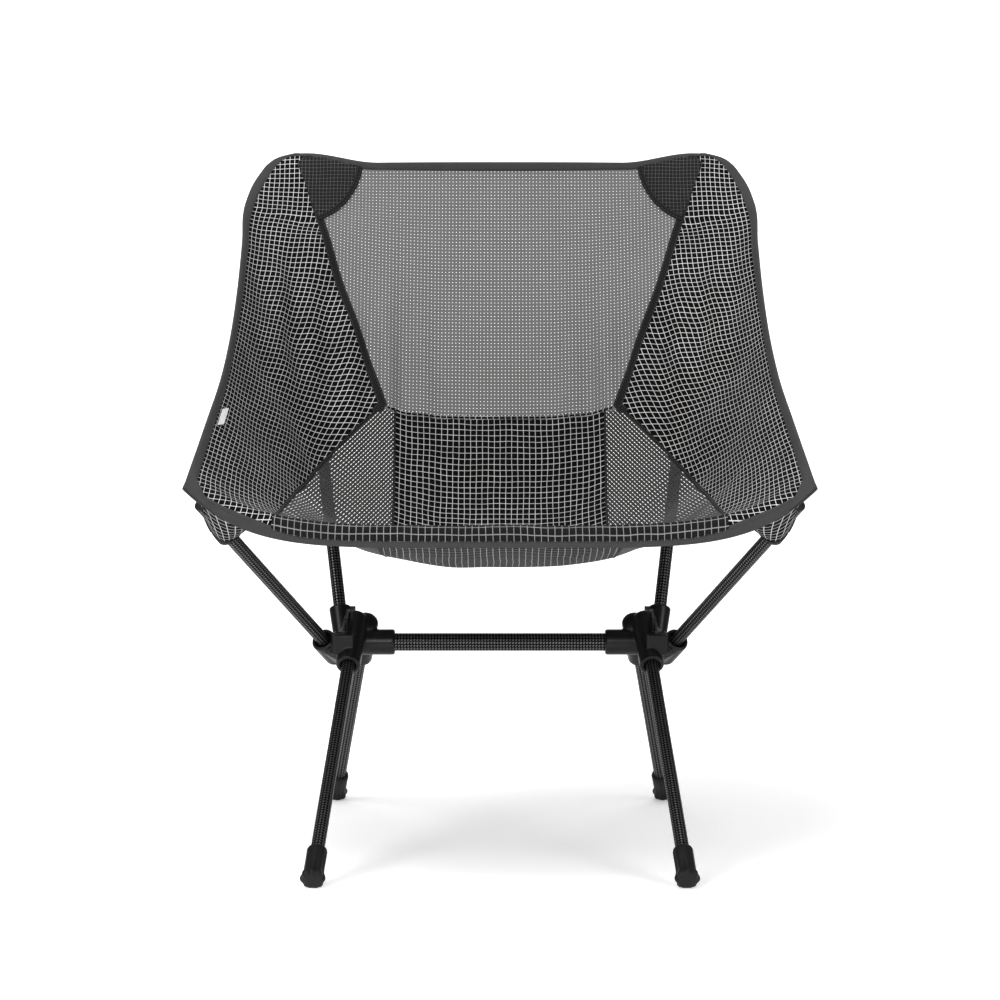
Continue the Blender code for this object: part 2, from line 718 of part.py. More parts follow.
def make_front_corner(word, side):
    """The folded, stitched front corner of the sling that its pocket hangs from."""

    def near(v):
        return FRONT_CORNER_U + SEAM_GAP

    def far(v):
        return 1.0

    levels = even(0.0, FRONT_STRIP_V - HALF_GAP, 3)
    long_band(f"front_corner_{word}", near, far, levels, 3, BINDING, binding_tape(), side)


def make_top_corner(word, side):
    """The folded, stitched top corner of the sling that its pocket hangs from."""

    def near(v):
        return TOP_CORNER_U + SEAM_GAP

    def far(v):
        return 1.0

    levels = [TOP_CORNER_V + SEAM_GAP, TOP_HEM_V - HALF_GAP, TOP_HEM_V + HALF_GAP, 1.0]
    long_band(f"top_corner_{word}", near, far, levels, 4, BINDING, binding_tape(), side)


def make_pocket(name, tip, base, side):
    """The sewn pocket that slips over a pole's tip."""
    profile = [
        (0.0, POCKET_ROOF + POCKET_WALL * 1.75),
        (POCKET_TIP_R * 0.7, POCKET_ROOF + POCKET_WALL * 1.25),
        (POCKET_TIP_R, POCKET_ROOF - POCKET_WALL * 2.5),
        (POCKET_MOUTH_R, -POCKET_LENGTH),
        (POCKET_MOUTH_R - POCKET_WALL, -POCKET_LENGTH),
        (POCKET_BORE_R, POCKET_ROOF - POCKET_WALL * 3.75),
        (POCKET_BORE_R * 0.7, POCKET_ROOF),
        (0.0, POCKET_ROOF + POCKET_WALL / 2),
    ]
    start = mirrored(tip, side)
    beyond = start * 2 - mirrored(base, side)
    return place(name, turned_mesh(name, profile, TUBE_SIDES), start, beyond, ripstop())


LOWER_LEVELS = even(FRONT_STRIP_V + HALF_GAP, SEAT_BACK_V, 11)
UPPER_LEVELS = even(SEAT_BACK_V, TOP_CORNER_V, 9) + [TOP_HEM_V - HALF_GAP]

clear_scene()
make_crossbar()
for side_word, side_sign in SIDES.items():
    make_hub(side_word, side_sign)
    make_leg("front", side_word, side_sign, FRONT_LEG_MOUTH, FRONT_LEG_END)
    make_leg("rear", side_word, side_sign, REAR_LEG_MOUTH, REAR_LEG_END)
    make_arm(side_word, side_sign)
    make_rear_pole(side_word, side_sign)
    make_side_cloths(side_word, side_sign)
    make_patch(side_word, side_sign)
    make_pocket(f"front_pocket_{side_word}", ARM_TIP, ARM_MOUTH, side_sign)
    make_pocket(f"top_pocket_{side_word}", REAR_POLE_TIP, REAR_POLE_MOUTH, side_sign)
    make_front_corner(side_word, side_sign)
    make_top_corner(side_word, side_sign)
make_middle_cloths()
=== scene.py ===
"""Looks of the ultralight backpacking chair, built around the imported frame.

Metres, +Z up, the sitter faces -Y. Right-hand places (+X) are mirrored for the left."""

import itertools
import math

import bmesh
import bpy
import numpy as np
from mathutils import Matrix, Vector


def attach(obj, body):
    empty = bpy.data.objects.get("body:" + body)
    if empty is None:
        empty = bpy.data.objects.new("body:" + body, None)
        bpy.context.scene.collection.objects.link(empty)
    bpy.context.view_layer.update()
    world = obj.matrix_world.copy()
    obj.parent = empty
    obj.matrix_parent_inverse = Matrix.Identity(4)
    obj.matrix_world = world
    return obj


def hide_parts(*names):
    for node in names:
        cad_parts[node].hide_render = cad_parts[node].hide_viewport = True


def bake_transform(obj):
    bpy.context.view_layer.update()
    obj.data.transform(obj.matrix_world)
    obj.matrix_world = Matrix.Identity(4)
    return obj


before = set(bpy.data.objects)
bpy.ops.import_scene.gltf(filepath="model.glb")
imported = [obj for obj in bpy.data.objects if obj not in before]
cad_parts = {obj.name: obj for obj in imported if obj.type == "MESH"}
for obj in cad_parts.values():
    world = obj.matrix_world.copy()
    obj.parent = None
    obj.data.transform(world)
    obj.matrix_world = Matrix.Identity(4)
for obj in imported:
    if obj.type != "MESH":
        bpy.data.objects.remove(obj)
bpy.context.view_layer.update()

# ---------------------------------------------------------------- driving sizes
TUBE_SIDES = 56
TUBE_CHAMFER = 0.0004
TUBE_WALL = 0.0009
GAP = 0.0003
SOCKET_DEPTH = 0.034
ARM_DEPTH = 0.028

CLOTH = 0.0005
TAPE_THICK = 0.0019
BINDING_THICK = 0.0026
SIDE_BINDING_WIDTH = 0.0098
TOP_BINDING_WIDTH = 0.0096
FRONT_BINDING_WIDTH = 0.0070
RIPSTOP_PITCH = 0.0056
SIDE_PITCH = 0.0048
BACK_MESH_PITCH = 0.0034
SEAT_MESH_PITCH = 0.0030
STITCH_PITCH = 0.0034
STITCH_LENGTH = 0.0025
STITCH_R = 0.00028

SEAT_BACK_V = 0.668
SEAT_PANEL_U = 0.41
STRIP_V = 0.058
STRIP_U = 0.725
HEM_V = 0.014
TAPE_SHARE = 0.036

# The sling, as in the CAD part: its centre line (v, y, z) and its side edge (v, x, y, z)
CENTRE_LINE = [
    (0.000, -0.2090, 0.2762),
    (0.045, -0.2030, 0.2920),
    (0.120, -0.1550, 0.2840),
    (0.250, -0.0700, 0.2580),
    (0.380, 0.0150, 0.2460),
    (0.470, 0.0710, 0.2530),
    (0.550, 0.1090, 0.2920),
    (0.660, 0.1370, 0.3760),
    (0.780, 0.1590, 0.4580),
    (0.900, 0.1830, 0.5500),
    (1.000, 0.2000, 0.6296),
]
SIDE_EDGE = [
    (0.000, 0.2585, -0.2130, 0.3245),
    (0.120, 0.2565, -0.1650, 0.3460),
    (0.250, 0.2520, -0.1000, 0.3800),
    (0.380, 0.2475, -0.0280, 0.4180),
    (0.500, 0.2455, 0.0350, 0.4590),
    (0.620, 0.2450, 0.0880, 0.5030),
    (0.740, 0.2455, 0.1330, 0.5470),
    (0.860, 0.2465, 0.1750, 0.5880),
    (0.940, 0.2360, 0.2060, 0.6180),
    (0.965, 0.2285, 0.2135, 0.6285),
    (0.985, 0.2185, 0.2195, 0.6355),
    (1.000, 0.2045, 0.2245, 0.6395),
]
FORWARD_POWER = [(0.0, 5.5), (0.06, 4.6), (0.3, 2.6), (0.5, 2.4), (0.7, 2.6), (1.0, 3.0)]
UPWARD_POWER = [(0.0, 5.5), (0.06, 4.6), (0.3, 3.2), (0.5, 3.0), (0.66, 3.3), (1.0, 3.3)]
SEAT_SEAM = [
    (0.040, 0.722),
    (0.100, 0.729),
    (0.200, 0.750),
    (0.300, 0.749),
    (0.400, 0.739),
    (0.500, 0.698),
    (0.580, 0.624),
    (0.620, 0.562),
    (0.668, 0.460),
]
SHOULDER_V = 0.90
SHOULDER_U = (0.58, 0.93)
BACK_SEAM = [(0.668, 0.460), (0.80, 0.597), (0.92, 0.745), (1.00, 0.900)]
SIDES = {"left": -1, "right": 1}

# Hub, right-hand side: each socket's mouth and where its tube runs to
CROSSBAR = Vector((0.0, 0.0150, 0.1770))
FRONT_LEG = (Vector((0.1356, -0.0300, 0.1600)), Vector((0.1527, -0.2316, 0.0055)))
REAR_LEG = (Vector((0.1295, 0.0550, 0.1590)), Vector((0.1629, 0.2190, 0.0047)))
REAR_POLE = (Vector((0.1475, 0.0440, 0.2065)), Vector((0.2085, 0.2280, 0.6300)))
ARM = (Vector((0.1590, -0.0200, 0.1830)), Vector((0.2455, -0.1930, 0.3105)))
LEG_BARREL_R = 0.0110
POLE_SOCKET_R = 0.0100
ARM_SOCKET_R = 0.0108
SLEEVE_R = 0.0116
SLEEVE_START_X = 0.0955
CORE = Vector((0.1375, 0.012, 0.178))
CORE_SIZE = (0.0125, 0.024, 0.0145)
BLOCK = Vector((0.1405, -0.006, 0.1785))
BLOCK_SIZE = (0.019, 0.044, 0.018)
TUBE_R = 0.00575
CROSSBAR_R = 0.008
BAR_END_X = 0.119
HUB_GRAIN = 0.0007

FOOT_HEIGHT = 0.036
FOOT_SLEEVE_R = 0.0085
FOOT_RIM_R = 0.0105
POCKET_REACH = 0.047


# ---------------------------------------------------------------- materials
WHITE = (1.0, 1.0, 1.0, 1.0)
SOCKETS = {
    "colour": "Base Color",
    "rough": "Roughness",
    "metal": "Metallic",
    "gloss": "Specular IOR Level",
    "coat": "Coat Weight",
    "coat_rough": "Coat Roughness",
    "sheen": "Sheen Weight",
    "sheen_rough": "Sheen Roughness",
    "glow": "Emission Strength",
    "glow_colour": "Emission Color",
}


def grey(value):
    return (value, value, value, 1.0)


class Look:
    """A node material in the making: small helpers that add and link nodes."""

    def __init__(self, name):
        self.material = bpy.data.materials.new(name)
        self.material.use_nodes = True
        self.tree = self.material.node_tree
        self.shader = self.tree.nodes["Principled BSDF"]

    def put(self, socket, value):
        """A number, colour or other node's output into a socket."""
        if isinstance(value, bpy.types.NodeSocket):
            self.tree.links.new(value, socket)
        else:
            socket.default_value = value

    def node(self, kind, values=None, **settings):
        """The outputs of a new node with these settings and these values in its sockets."""
        made = self.tree.nodes.new(kind)
        for key, value in settings.items():
            setattr(made, key, value)
        for key, value in (values or {}).items():
            self.put(made.inputs[key], value)
        return made.outputs

    def math(self, operation, first, second=0.0):
        return self.node("ShaderNodeMath", {0: first, 1: second}, operation=operation)[0]

    def split(self, vector):
        return self.node("ShaderNodeSeparateXYZ", {0: vector})[:2]

    def uv(self):
        """The surface's own coordinates in metres, split in two."""
        return self.split(self.node("ShaderNodeUVMap", uv_map="metres")[0])

    def place(self):
        return self.node("ShaderNodeTexCoord")["Object"]

    def noise(self, scale, detail=3.0, stretch=(1.0, 1.0, 1.0)):
        """Noise fixed to the object, scale in features for each metre."""
        place = self.node("ShaderNodeMapping", {"Vector": self.place(), "Scale": stretch})[0]
        return self.node("ShaderNodeTexNoise", {"Scale": scale, "Detail": detail, "Vector": place})[0]

    def mix(self, share, low, high):
        return self.node("ShaderNodeMix", {0: share, 6: low, 7: high}, data_type="RGBA")[2]

    def tint(self, share, base, low, high):
        """A grey between low and high times the base."""
        return self.mix(share, grey(base * low), grey(base * high))

    def ramp(self, share, low, high, start=0.0, stop=1.0, kind="LINEAR"):
        """share moved from start..stop to low..high."""
        values = {"Value": share, "From Min": start, "From Max": stop, "To Min": low, "To Max": high}
        return self.node("ShaderNodeMapRange", values, interpolation_type=kind)[0]

    def bump(self, height, distance, strength):
        values = {"Strength": strength, "Distance": distance, "Height": height}
        self.put(self.shader.inputs["Normal"], self.node("ShaderNodeBump", values)[0])

    def thread_line(self, along, pitch, share):
        """1 on a thin line that repeats every pitch, 0 elsewhere, with soft sides."""
        part = self.math("FRACT", self.math("DIVIDE", along, pitch))
        middle = self.math("ABSOLUTE", self.math("SUBTRACT", part, 0.5))
        return self.ramp(middle, 1.0, 0.0, share * 0.35, share * 0.75, "SMOOTHSTEP")

    def wave(self, along, pitch):
        """A sine of the coordinate, 0 to 1."""
        turned = self.math("SINE", self.math("MULTIPLY", along, math.tau / pitch))
        return self.math("ADD", self.math("MULTIPLY", turned, 0.5), 0.5)

    def done(self, **values):
        """The material, once these values are in the shader's sockets."""
        for key, value in values.items():
            self.put(self.shader.inputs[SOCKETS[key]], value)
        return self.material


TOW = 0.0028


def carbon_look():
    """Woven carbon wrap under a clear coat: diagonal tows that catch the light in turn."""
    look = Look("woven_carbon")
    around, along = look.uv()
    tows = [look.math("DIVIDE", look.math(way, around, along), TOW) for way in ("ADD", "SUBTRACT")]
    cells = look.math("ADD", *(look.math("FLOOR", tow) for tow in tows))
    over = look.math("MODULO", look.math("ABSOLUTE", cells), 2.0)
    arches = [look.math("SINE", look.math("MULTIPLY", look.math("FRACT", tow), math.pi)) for tow in tows]
    height = look.node("ShaderNodeMix", {0: over, 2: arches[0], 3: arches[1]}, data_type="FLOAT")[0]
    lit = look.math("MULTIPLY", over, look.math("MULTIPLY", arches[1], arches[1]))
    look.bump(height, 0.00040, 0.9)
    return look.done(
        colour=look.mix(lit, grey(0.0015), grey(0.24)),
        rough=look.ramp(lit, 0.42, 0.30),
        metal=look.ramp(lit, 0.0, 0.9),
        gloss=0.14,
        coat=0.08,
        coat_rough=0.15,
    )


def moulded_look(name, base, roughness, grain):
    """Satin moulded plastic or rubber with a fine grain and slight mottling."""
    look = Look(name)
    cloudy = look.noise(90.0, 4.0)
    look.bump(look.noise(grain, 2.0), 0.00006, 0.5)
    rough = look.ramp(cloudy, roughness - 0.06, roughness + 0.08)
    return look.done(colour=look.tint(cloudy, base, 0.8, 1.25), rough=rough, gloss=0.42)


YARN_PITCH = 0.00045
YARN_WOBBLE = 0.0022
RIB_SHARE = 0.115


def ripstop_look(name, ground, line, pitch=RIPSTOP_PITCH):
    """Ripstop: a fine plain weave with a pale doubled yarn every few millimetres each way."""
    look = Look(name)
    ways = []
    for way, scale in zip(look.uv(), (16.0, 21.0)):
        ways.append(look.math("ADD", way, look.ramp(look.noise(scale, 2.0), -YARN_WOBBLE, YARN_WOBBLE)))
    ribs = look.math("MAXIMUM", *(look.thread_line(way, pitch, RIB_SHARE) for way in ways))
    weave = look.math("MULTIPLY", *(look.thread_line(way, YARN_PITCH, 0.8) for way in ways))
    cloudy = look.noise(45.0)
    base = look.tint(weave, ground, 0.65, 1.2)
    worn = look.tint(cloudy, line, 0.55, 1.15)
    look.bump(look.math("ADD", ribs, look.math("MULTIPLY", weave, 0.25)), 0.00018, 0.8)
    rough = look.ramp(cloudy, 0.62, 0.8)
    return look.done(colour=look.mix(ribs, base, worn), rough=rough, sheen=0.01, sheen_rough=0.4, gloss=0.10)


def strand_look(name, base):
    """The yarn of an open mesh: tiny twisted ribs along each strand."""
    look = Look(name)
    fine = look.noise(2600.0, 2.0)
    tone = look.math("MULTIPLY", fine, look.ramp(look.noise(30.0, 2.0), 0.8, 1.2))
    look.bump(fine, 0.0001, 0.6)
    return look.done(colour=look.tint(tone, base, 0.7, 1.3), rough=0.8, sheen=0.15)


def grosgrain_look(name, base, rib=0.0011):
    """Woven tape: fine ribs across it, with soft colour variation."""
    look = Look(name)
    across, along = look.uv()
    ribs = look.wave(along, rib)
    yarns = look.wave(across, rib * 0.6)
    cloudy = look.noise(160.0, 4.0)
    tone = look.math("MULTIPLY", look.ramp(ribs, 0.8, 1.0), look.ramp(cloudy, 0.75, 1.2))
    look.bump(look.math("ADD", ribs, look.math("MULTIPLY", yarns, 0.4)), 0.00016, 0.8)
    rough = look.ramp(cloudy, 0.7, 0.88)
    return look.done(colour=look.tint(tone, base, 0.35, 1.12), rough=rough, sheen=0.05, gloss=0.2)


def thread_look(name, base):
    """Twisted sewing thread."""
    look = Look(name)
    return look.done(colour=look.tint(look.noise(5200.0, 1.0), base, 0.7, 1.3), rough=0.6)


def cord_look():
    """Braided sleeve of the shock cord."""
    look = Look("braided_cord")
    braid = look.noise(1500.0, 1.0, (1.0, 1.0, 0.35))
    look.bump(braid, 0.0002, 0.7)
    return look.done(colour=look.mix(braid, grey(0.02), grey(0.12)), rough=0.75)


def alloy_look():
    """Drawn aluminium with fine lengthwise lines."""
    look = Look("drawn_alloy")
    lines = look.noise(900.0, 2.0, (1.0, 1.0, 0.05))
    return look.done(colour=look.mix(lines, grey(0.55), grey(0.72)),
                     rough=look.ramp(lines, 0.25, 0.45), metal=1.0)


# The floor's painted shade, an oval where its glow is dimmed: centre and radius along X, then along Y
PAINTED_SHADE_OVAL = [(0.07, 0.44), (0.17, 0.54)]


def floor_look():
    """Matt white studio floor, barely uneven, with painted shade: a soft oval under the chair where its glow
    is dimmed.
    """
    look = Look("studio_floor")
    offs = []
    for way, (centre, radius) in zip(look.split(look.place()), PAINTED_SHADE_OVAL):
        offs.append(look.math("DIVIDE", look.math("SUBTRACT", way, centre), radius))
    far = look.math("SQRT", look.math("ADD", *(look.math("MULTIPLY", off, off) for off in offs)))
    return look.done(
        colour=look.mix(look.noise(3.0, 2.0), grey(0.84), grey(0.86)),
        rough=0.9,
        gloss=0.1,
        # painted shade: the glow falls to about half inside the oval under the chair
        glow=look.ramp(far, 0.31, 0.62, 0.50, 1.0, "SMOOTHSTEP"),
        glow_colour=WHITE,
    )


CARBON = carbon_look()
HUB_PLASTIC = moulded_look("hub_nylon", 0.008, 0.34, 2200.0)
CAP_PLASTIC = moulded_look("cap_nylon", 0.020, 0.45, 2200.0)
FOOT_RUBBER = moulded_look("foot_rubber", 0.006, 0.55, 1500.0)
RIPSTOP = ripstop_look("ripstop", 0.003, 0.62)
RIPSTOP_SIDE = ripstop_look("ripstop_side", 0.003, 0.78, SIDE_PITCH)
RIPSTOP_HEM = ripstop_look("ripstop_hem", 0.016, 0.34)
RIPSTOP_BACK = ripstop_look("ripstop_outside", 0.022, 0.42)
BACK_STRAND = strand_look("back_mesh_yarn", 0.185)
SEAT_STRAND = strand_look("seat_mesh_yarn", 0.040)
BINDING = grosgrain_look("binding_tape", 0.068)
TAPE = grosgrain_look("seam_tape", 0.018, 0.0016)
PATCH = ripstop_look("corner_patch", 0.021, 0.15, 0.0035)
WEBBING = grosgrain_look("webbing", 0.016, 0.0013)
THREAD = thread_look("thread", 0.07)
PALE_THREAD = thread_look("pale_thread", 0.35)
LABEL = grosgrain_look("blank_label", 0.95, 0.0009)
CORD = cord_look()
ALLOY = alloy_look()


# ---------------------------------------------------------------- mesh helpers
def new_object(name, mesh, looks):
    item = bpy.data.objects.new(name, mesh)
    bpy.context.scene.collection.objects.link(item)
    for look in looks:
        mesh.materials.append(look)
    return item


def discard(item):
    old = item.data
    bpy.data.objects.remove(item)
    bpy.data.meshes.remove(old)


def from_arrays(name, verts, faces, uvs, looks, face_looks=None):
    """An object from point and face arrays; uvs has one pair for each point."""
    mesh = bpy.data.meshes.new(name)
    mesh.from_pydata([tuple(p) for p in verts], [], [tuple(f) for f in faces])
    layer = mesh.uv_layers.new(name="metres")
    loops = np.zeros(len(mesh.loops), dtype=np.int32)
    mesh.loops.foreach_get("vertex_index", loops)
    layer.data.foreach_set("uv", np.asarray(uvs, float)[loops].ravel())
    if face_looks is not None:
        mesh.polygons.foreach_set("material_index", np.asarray(face_looks, dtype=np.int32))
    mesh.shade_smooth()
    mesh.validate()
    mesh.update()
    return new_object(name, mesh, looks)


def settle(item):
    """Apply the modifiers, so that the mesh is final."""
    bpy.context.view_layer.update()
    graph = bpy.context.evaluated_depsgraph_get()
    mesh = bpy.data.meshes.new_from_object(item.evaluated_get(graph), depsgraph=graph)
    old = item.data
    item.modifiers.clear()
    item.data = mesh
    bpy.data.meshes.remove(old)


def soften(item, degrees):
    """Smooth shading, except over edges sharper than this."""
    item.data.shade_smooth()
    item.data.set_sharp_from_angle(angle=math.radians(degrees))


def mend(item, merge=0.0):
    """Weld points closer than merge and turn all faces outward."""
    bm = bmesh.new()
    bm.from_mesh(item.data)
    if merge:
        bmesh.ops.remove_doubles(bm, verts=bm.verts[:], dist=merge)
    bmesh.ops.recalc_face_normals(bm, faces=bm.faces[:])
    bm.to_mesh(item.data)
    bm.free()
    item.data.shade_smooth()


def thicken(item, thickness, degrees, back_look=0):
    """Give a sheet its thickness, half of it on each side."""
    solid = item.modifiers.new("thickness", "SOLIDIFY")
    solid.thickness = thickness
    solid.offset = 0.0
    solid.material_offset = back_look
    settle(item)
    soften(item, degrees)


def over_grid(rows, columns, down, across):
    """Two (rows, columns) arrays: one runs over down by row, the other over across by column."""
    return np.meshgrid(np.linspace(*down, rows), np.linspace(*across, columns), indexing="ij")


def grid_faces(rows, columns, closed_columns=False):
    """Quads over a grid of rows x columns points."""
    faces = []
    last = columns if closed_columns else columns - 1
    for a in range(0, (rows - 1) * columns, columns):
        for column in range(last):
            right = (column + 1) % columns
            faces.append((a + column, a + right, a + columns + right, a + columns + column))
    return faces


def grid_object(name, points, uvs, looks, thickness=0.0, back_look=0):
    """A cloth from a grid of points (rows, columns, 3), thickened about its middle."""
    item = from_arrays(name, points.reshape(-1, 3), grid_faces(*points.shape[:2]), uvs.reshape(-1, 2), looks)
    if thickness:
        thicken(item, thickness, 40, back_look)
    return item


def unit(vectors):
    return vectors / np.maximum(np.linalg.norm(vectors, axis=-1, keepdims=True), 1e-12)


def travel(points):
    """Running length along rows of points."""
    steps = np.linalg.norm(np.diff(points, axis=0), axis=-1)
    return np.concatenate([np.zeros((1,) + steps.shape[1:]), np.cumsum(steps, axis=0)])


def lathe(name, profile, looks, steps=TUBE_SIDES):
    """A turned mesh about Z from (radius, height) points, with metre coordinates round and along it."""
    profile = np.array(profile)
    radii, heights = profile.T
    turns = np.linspace(0.0, math.tau, steps + 1)
    ring, level = np.ones(steps + 1), np.ones(len(profile))
    x, y, z = np.outer(radii, np.cos(turns)), np.outer(radii, np.sin(turns)), np.outer(heights, ring)
    uvs = np.stack([np.outer(level, turns * radii.max()), np.outer(travel(profile), ring)], axis=-1)
    item = grid_object(name, np.stack([x, y, z], axis=-1), uvs, looks)
    mend(item, 1e-6)
    soften(item, 32)
    return item


def stand(item, start, direction):
    """Put a turned mesh at start with its Z along direction, in its vertices."""
    turn = Vector(direction).to_track_quat("Z", "Y").to_matrix().to_4x4()
    item.data.transform(Matrix.Translation(start) @ turn)
    return item


def mirrored(point, side):
    return Vector((point[0] * side, point[1], point[2]))


# ---------------------------------------------------------------- what the CAD tubes say
def cad_axis(node):
    """A straight CAD tube's start, end (lower z first for legs and poles) and radius."""
    points = np.array([v.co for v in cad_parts[node].data.vertices], float)
    middle = (points.min(0) + points.max(0)) / 2
    axis = np.linalg.svd(points - points.mean(0), full_matrices=False)[2][0]
    along = (points - middle) @ axis
    centre = middle + axis * (along.min() + along.max()) / 2
    half = (along.max() - along.min()) / 2
    off = points - centre - np.outer((points - centre) @ axis, axis)
    ends = [centre - axis * half, centre + axis * half]
    ends.sort(key=lambda p: p[2])
    return Vector(ends[0]), Vector(ends[1]), float(np.linalg.norm(off, axis=1).max())


# ---------------------------------------------------------------- what moves with what
CORNER_TIP = {"front": "front_arm", "top": "rear_pole_upper"}


def assign(item, body, slot, *nodes):
    """What a piece moves with and the CAD nodes it stands for; slot is not used.

    body is a body's name, or (corner, word) for cloth near that corner, whose placement is only baked into
    its mesh."""
    if isinstance(body, str):
        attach(item, body)
    else:
        which, word = body
        tip = cad_axis(f"{CORNER_TIP[which]}_{word}")[1]
        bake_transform(item)
    if nodes:
        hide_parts(*nodes)


def make_tube(node, body):
    """A round tube in place of the faceted CAD one."""
    low, high, radius = cad_axis(node)
    length = (high - low).length
    inner, c = radius - TUBE_WALL, TUBE_CHAMFER
    profile = [(inner, 0.0), (inner, length), (radius - c, length), (radius, length - c)]
    profile += [(radius, c), (radius - c, 0.0), (inner, 0.0)]
    item = stand(lathe(f"{node}_tube", profile, [CARBON]), low, high - low)
    assign(item, body, "carbon", node)


# ---------------------------------------------------------------- the sling's surface
def curve(points, v):
    """Smooth curve through (place, values...) points, read at an array of places."""
    table = np.array(points, float)
    places, values = table[:, 0], table[:, 1:]
    steps = np.diff(places)
    rises = np.diff(values, axis=0) / steps[:, None]
    slopes = np.empty_like(values)
    slopes[0], slopes[-1] = rises[0], rises[-1]
    before, after = steps[:-1, None], steps[1:, None]
    slopes[1:-1] = (after * rises[:-1] + before * rises[1:]) / (before + after)
    index = np.clip(np.searchsorted(places, v, side="left") - 1, 0, len(steps) - 1)
    step = steps[index][..., None]
    t = ((v - places[index]) / steps[index])[..., None]
    low, high = values[index], values[index + 1]
    out = (2 * t**3 - 3 * t**2 + 1) * low + (t**3 - 2 * t**2 + t) * step * slopes[index]
    return out + (3 * t**2 - 2 * t**3) * high + (t**3 - t**2) * step * slopes[index + 1]


def straight(points, v):
    table = np.array(points, float)
    return np.interp(v, table[:, 0], table[:, 1])


def soft_step(value, low, high):
    share = np.clip((value - low) / (high - low), 0.0, 1.0)
    return share * share * (3.0 - 2.0 * share)


def sling(u, v):
    """A point of the smooth sling: u -1 to 1 across it, v 0 at the front hem to 1 at the top hem."""
    u, v = np.broadcast_arrays(np.asarray(u, float), np.asarray(v, float))
    middle = curve(CENTRE_LINE, v)
    edge = curve(SIDE_EDGE, v)
    forward = np.abs(u) ** straight(FORWARD_POWER, v)
    upward = np.abs(u) ** straight(UPWARD_POWER, v)
    upward = upward + (soft_step(np.abs(u), *SHOULDER_U) - upward) * soft_step(v, SHOULDER_V, 1.0)
    y = middle[..., 0] + (edge[..., 1] - middle[..., 0]) * forward
    z = middle[..., 1] + (edge[..., 2] - middle[..., 1]) * upward
    return np.stack([edge[..., 0] * u, y, z], axis=-1)


def sling_normal(u, v):
    """Unit direction towards the sitter."""
    step = 0.004
    low = np.minimum(v, 1.0 - step)
    across = sling(np.minimum(u + step, 1.0), low) - sling(np.maximum(u - step, -1.0), low)
    upward = sling(u, low + step) - sling(u, np.maximum(low - step, 0.0))
    return unit(np.cross(across, upward))


def bell(value, centre, width):
    return np.exp(-(((value - centre) / width) ** 2))


def ripple(u, v):
    """How far the slack cloth stands off the smooth sling: soft folds, none at the bound edges."""
    a = np.abs(u)
    edge = np.clip((1.0 - a) / 0.16, 0, 1) * np.clip(v / 0.07, 0, 1) * np.clip((1.0 - v) / 0.06, 0, 1)
    flank = np.clip((a - 0.38) / 0.25, 0, 1)
    fan = a * 13.0 + 4.2 * v + 0.9 * np.sin(9.0 * v + 2.0 * np.sign(u))
    folds = 0.0038 * (np.sin(fan) + 0.35 * np.sin(2.0 * fan + 0.8)) * flank * bell(v, 0.58, 0.24)
    waves = 0.0015 * np.sin(v * 46.0 + 5.0 * a + 1.5 * np.sin(u * 7.0)) * flank * bell(v, 0.66, 0.30)
    pulls = 0.0030 * np.sin(u * 44.0 + 3.0 * v) * bell(v, 0.72, 0.10) * np.clip((a - 0.12) / 0.3, 0, 1)
    seat = 0.0013 * np.sin(u * 17.0 + 1.0) * np.sin(v * 26.0 + 2.2 * u) * bell(v, 0.30, 0.22)
    return (folds + waves + pulls + seat) * edge


def surface(u, v, lift=0.0):
    """A point of the cloth as it hangs, lifted off it towards the sitter."""
    u, v = np.broadcast_arrays(np.asarray(u, float), np.asarray(v, float))
    normal = sling_normal(u, v)
    return sling(u, v) + normal * (ripple(u, v) + lift)[..., None]


def seam_u(v):
    """The side panel's seam, as a share of the half-width."""
    v = np.asarray(v, float)
    low = curve(SEAT_SEAM, np.clip(v, 0.04, SEAT_BACK_V))[..., 0]
    high = curve(BACK_SEAM, np.clip(v, SEAT_BACK_V, 1.0))[..., 0]
    return np.where(v < SEAT_BACK_V, low, high)


V_FINE = np.linspace(0.0, 1.0, 401)
CENTRE_LENGTH = travel(sling(np.zeros(401), V_FINE))


def length_at(v):
    """Cloth length from the front hem to v, up the middle."""
    return np.interp(v, V_FINE, CENTRE_LENGTH)


def v_at(length):
    return np.interp(length, CENTRE_LENGTH, V_FINE)


def half_width(v):
    return curve(SIDE_EDGE, v)[..., 0]


# ---------------------------------------------------------------- stitches and bands
STITCH_STATIONS = [(-0.5, 0.25, -0.9), (-0.34, 1.0, 0.0), (0.34, 1.0, 0.0), (0.5, 0.25, -0.9)]


def capsule(sides=6):
    """Points and faces of one stitch lying along X, its ends tucked down."""
    points = []
    for place_on, share, sink in STITCH_STATIONS:
        for step in range(sides):
            turn = math.tau * step / sides
            across, up = math.cos(turn) * STITCH_R * share, (math.sin(turn) * share + sink) * STITCH_R
            points.append((place_on * STITCH_LENGTH, across, up))
    faces = grid_faces(len(STITCH_STATIONS), sides, closed_columns=True)
    faces += [tuple(range(sides - 1, -1, -1)), tuple(range(len(points) - sides, len(points)))]
    return np.array(points), faces


def stitch_row(path, normals):
    """Stitches along a path of points, standing on the cloth whose normals are given."""
    run = travel(path)
    count = int(run[-1] / STITCH_PITCH)
    centres = (np.arange(count) + 0.5) * run[-1] / max(count, 1)

    def read(places, rows):
        return np.stack([np.interp(places, run, rows[:, k]) for k in range(3)], axis=-1)

    at, up = read(centres, path), unit(read(centres, normals))
    along = unit(read(centres + 0.001, path) - read(centres - 0.001, path))
    over = unit(np.cross(up, along))
    shape, faces = capsule()
    points, all_faces = [np.zeros((0, 3))], []
    for index in range(count):
        points.append(shape @ np.stack([along[index], over[index], up[index]]) + at[index])
        all_faces += [tuple(i + index * len(shape) for i in face) for face in faces]
    return np.concatenate(points), all_faces


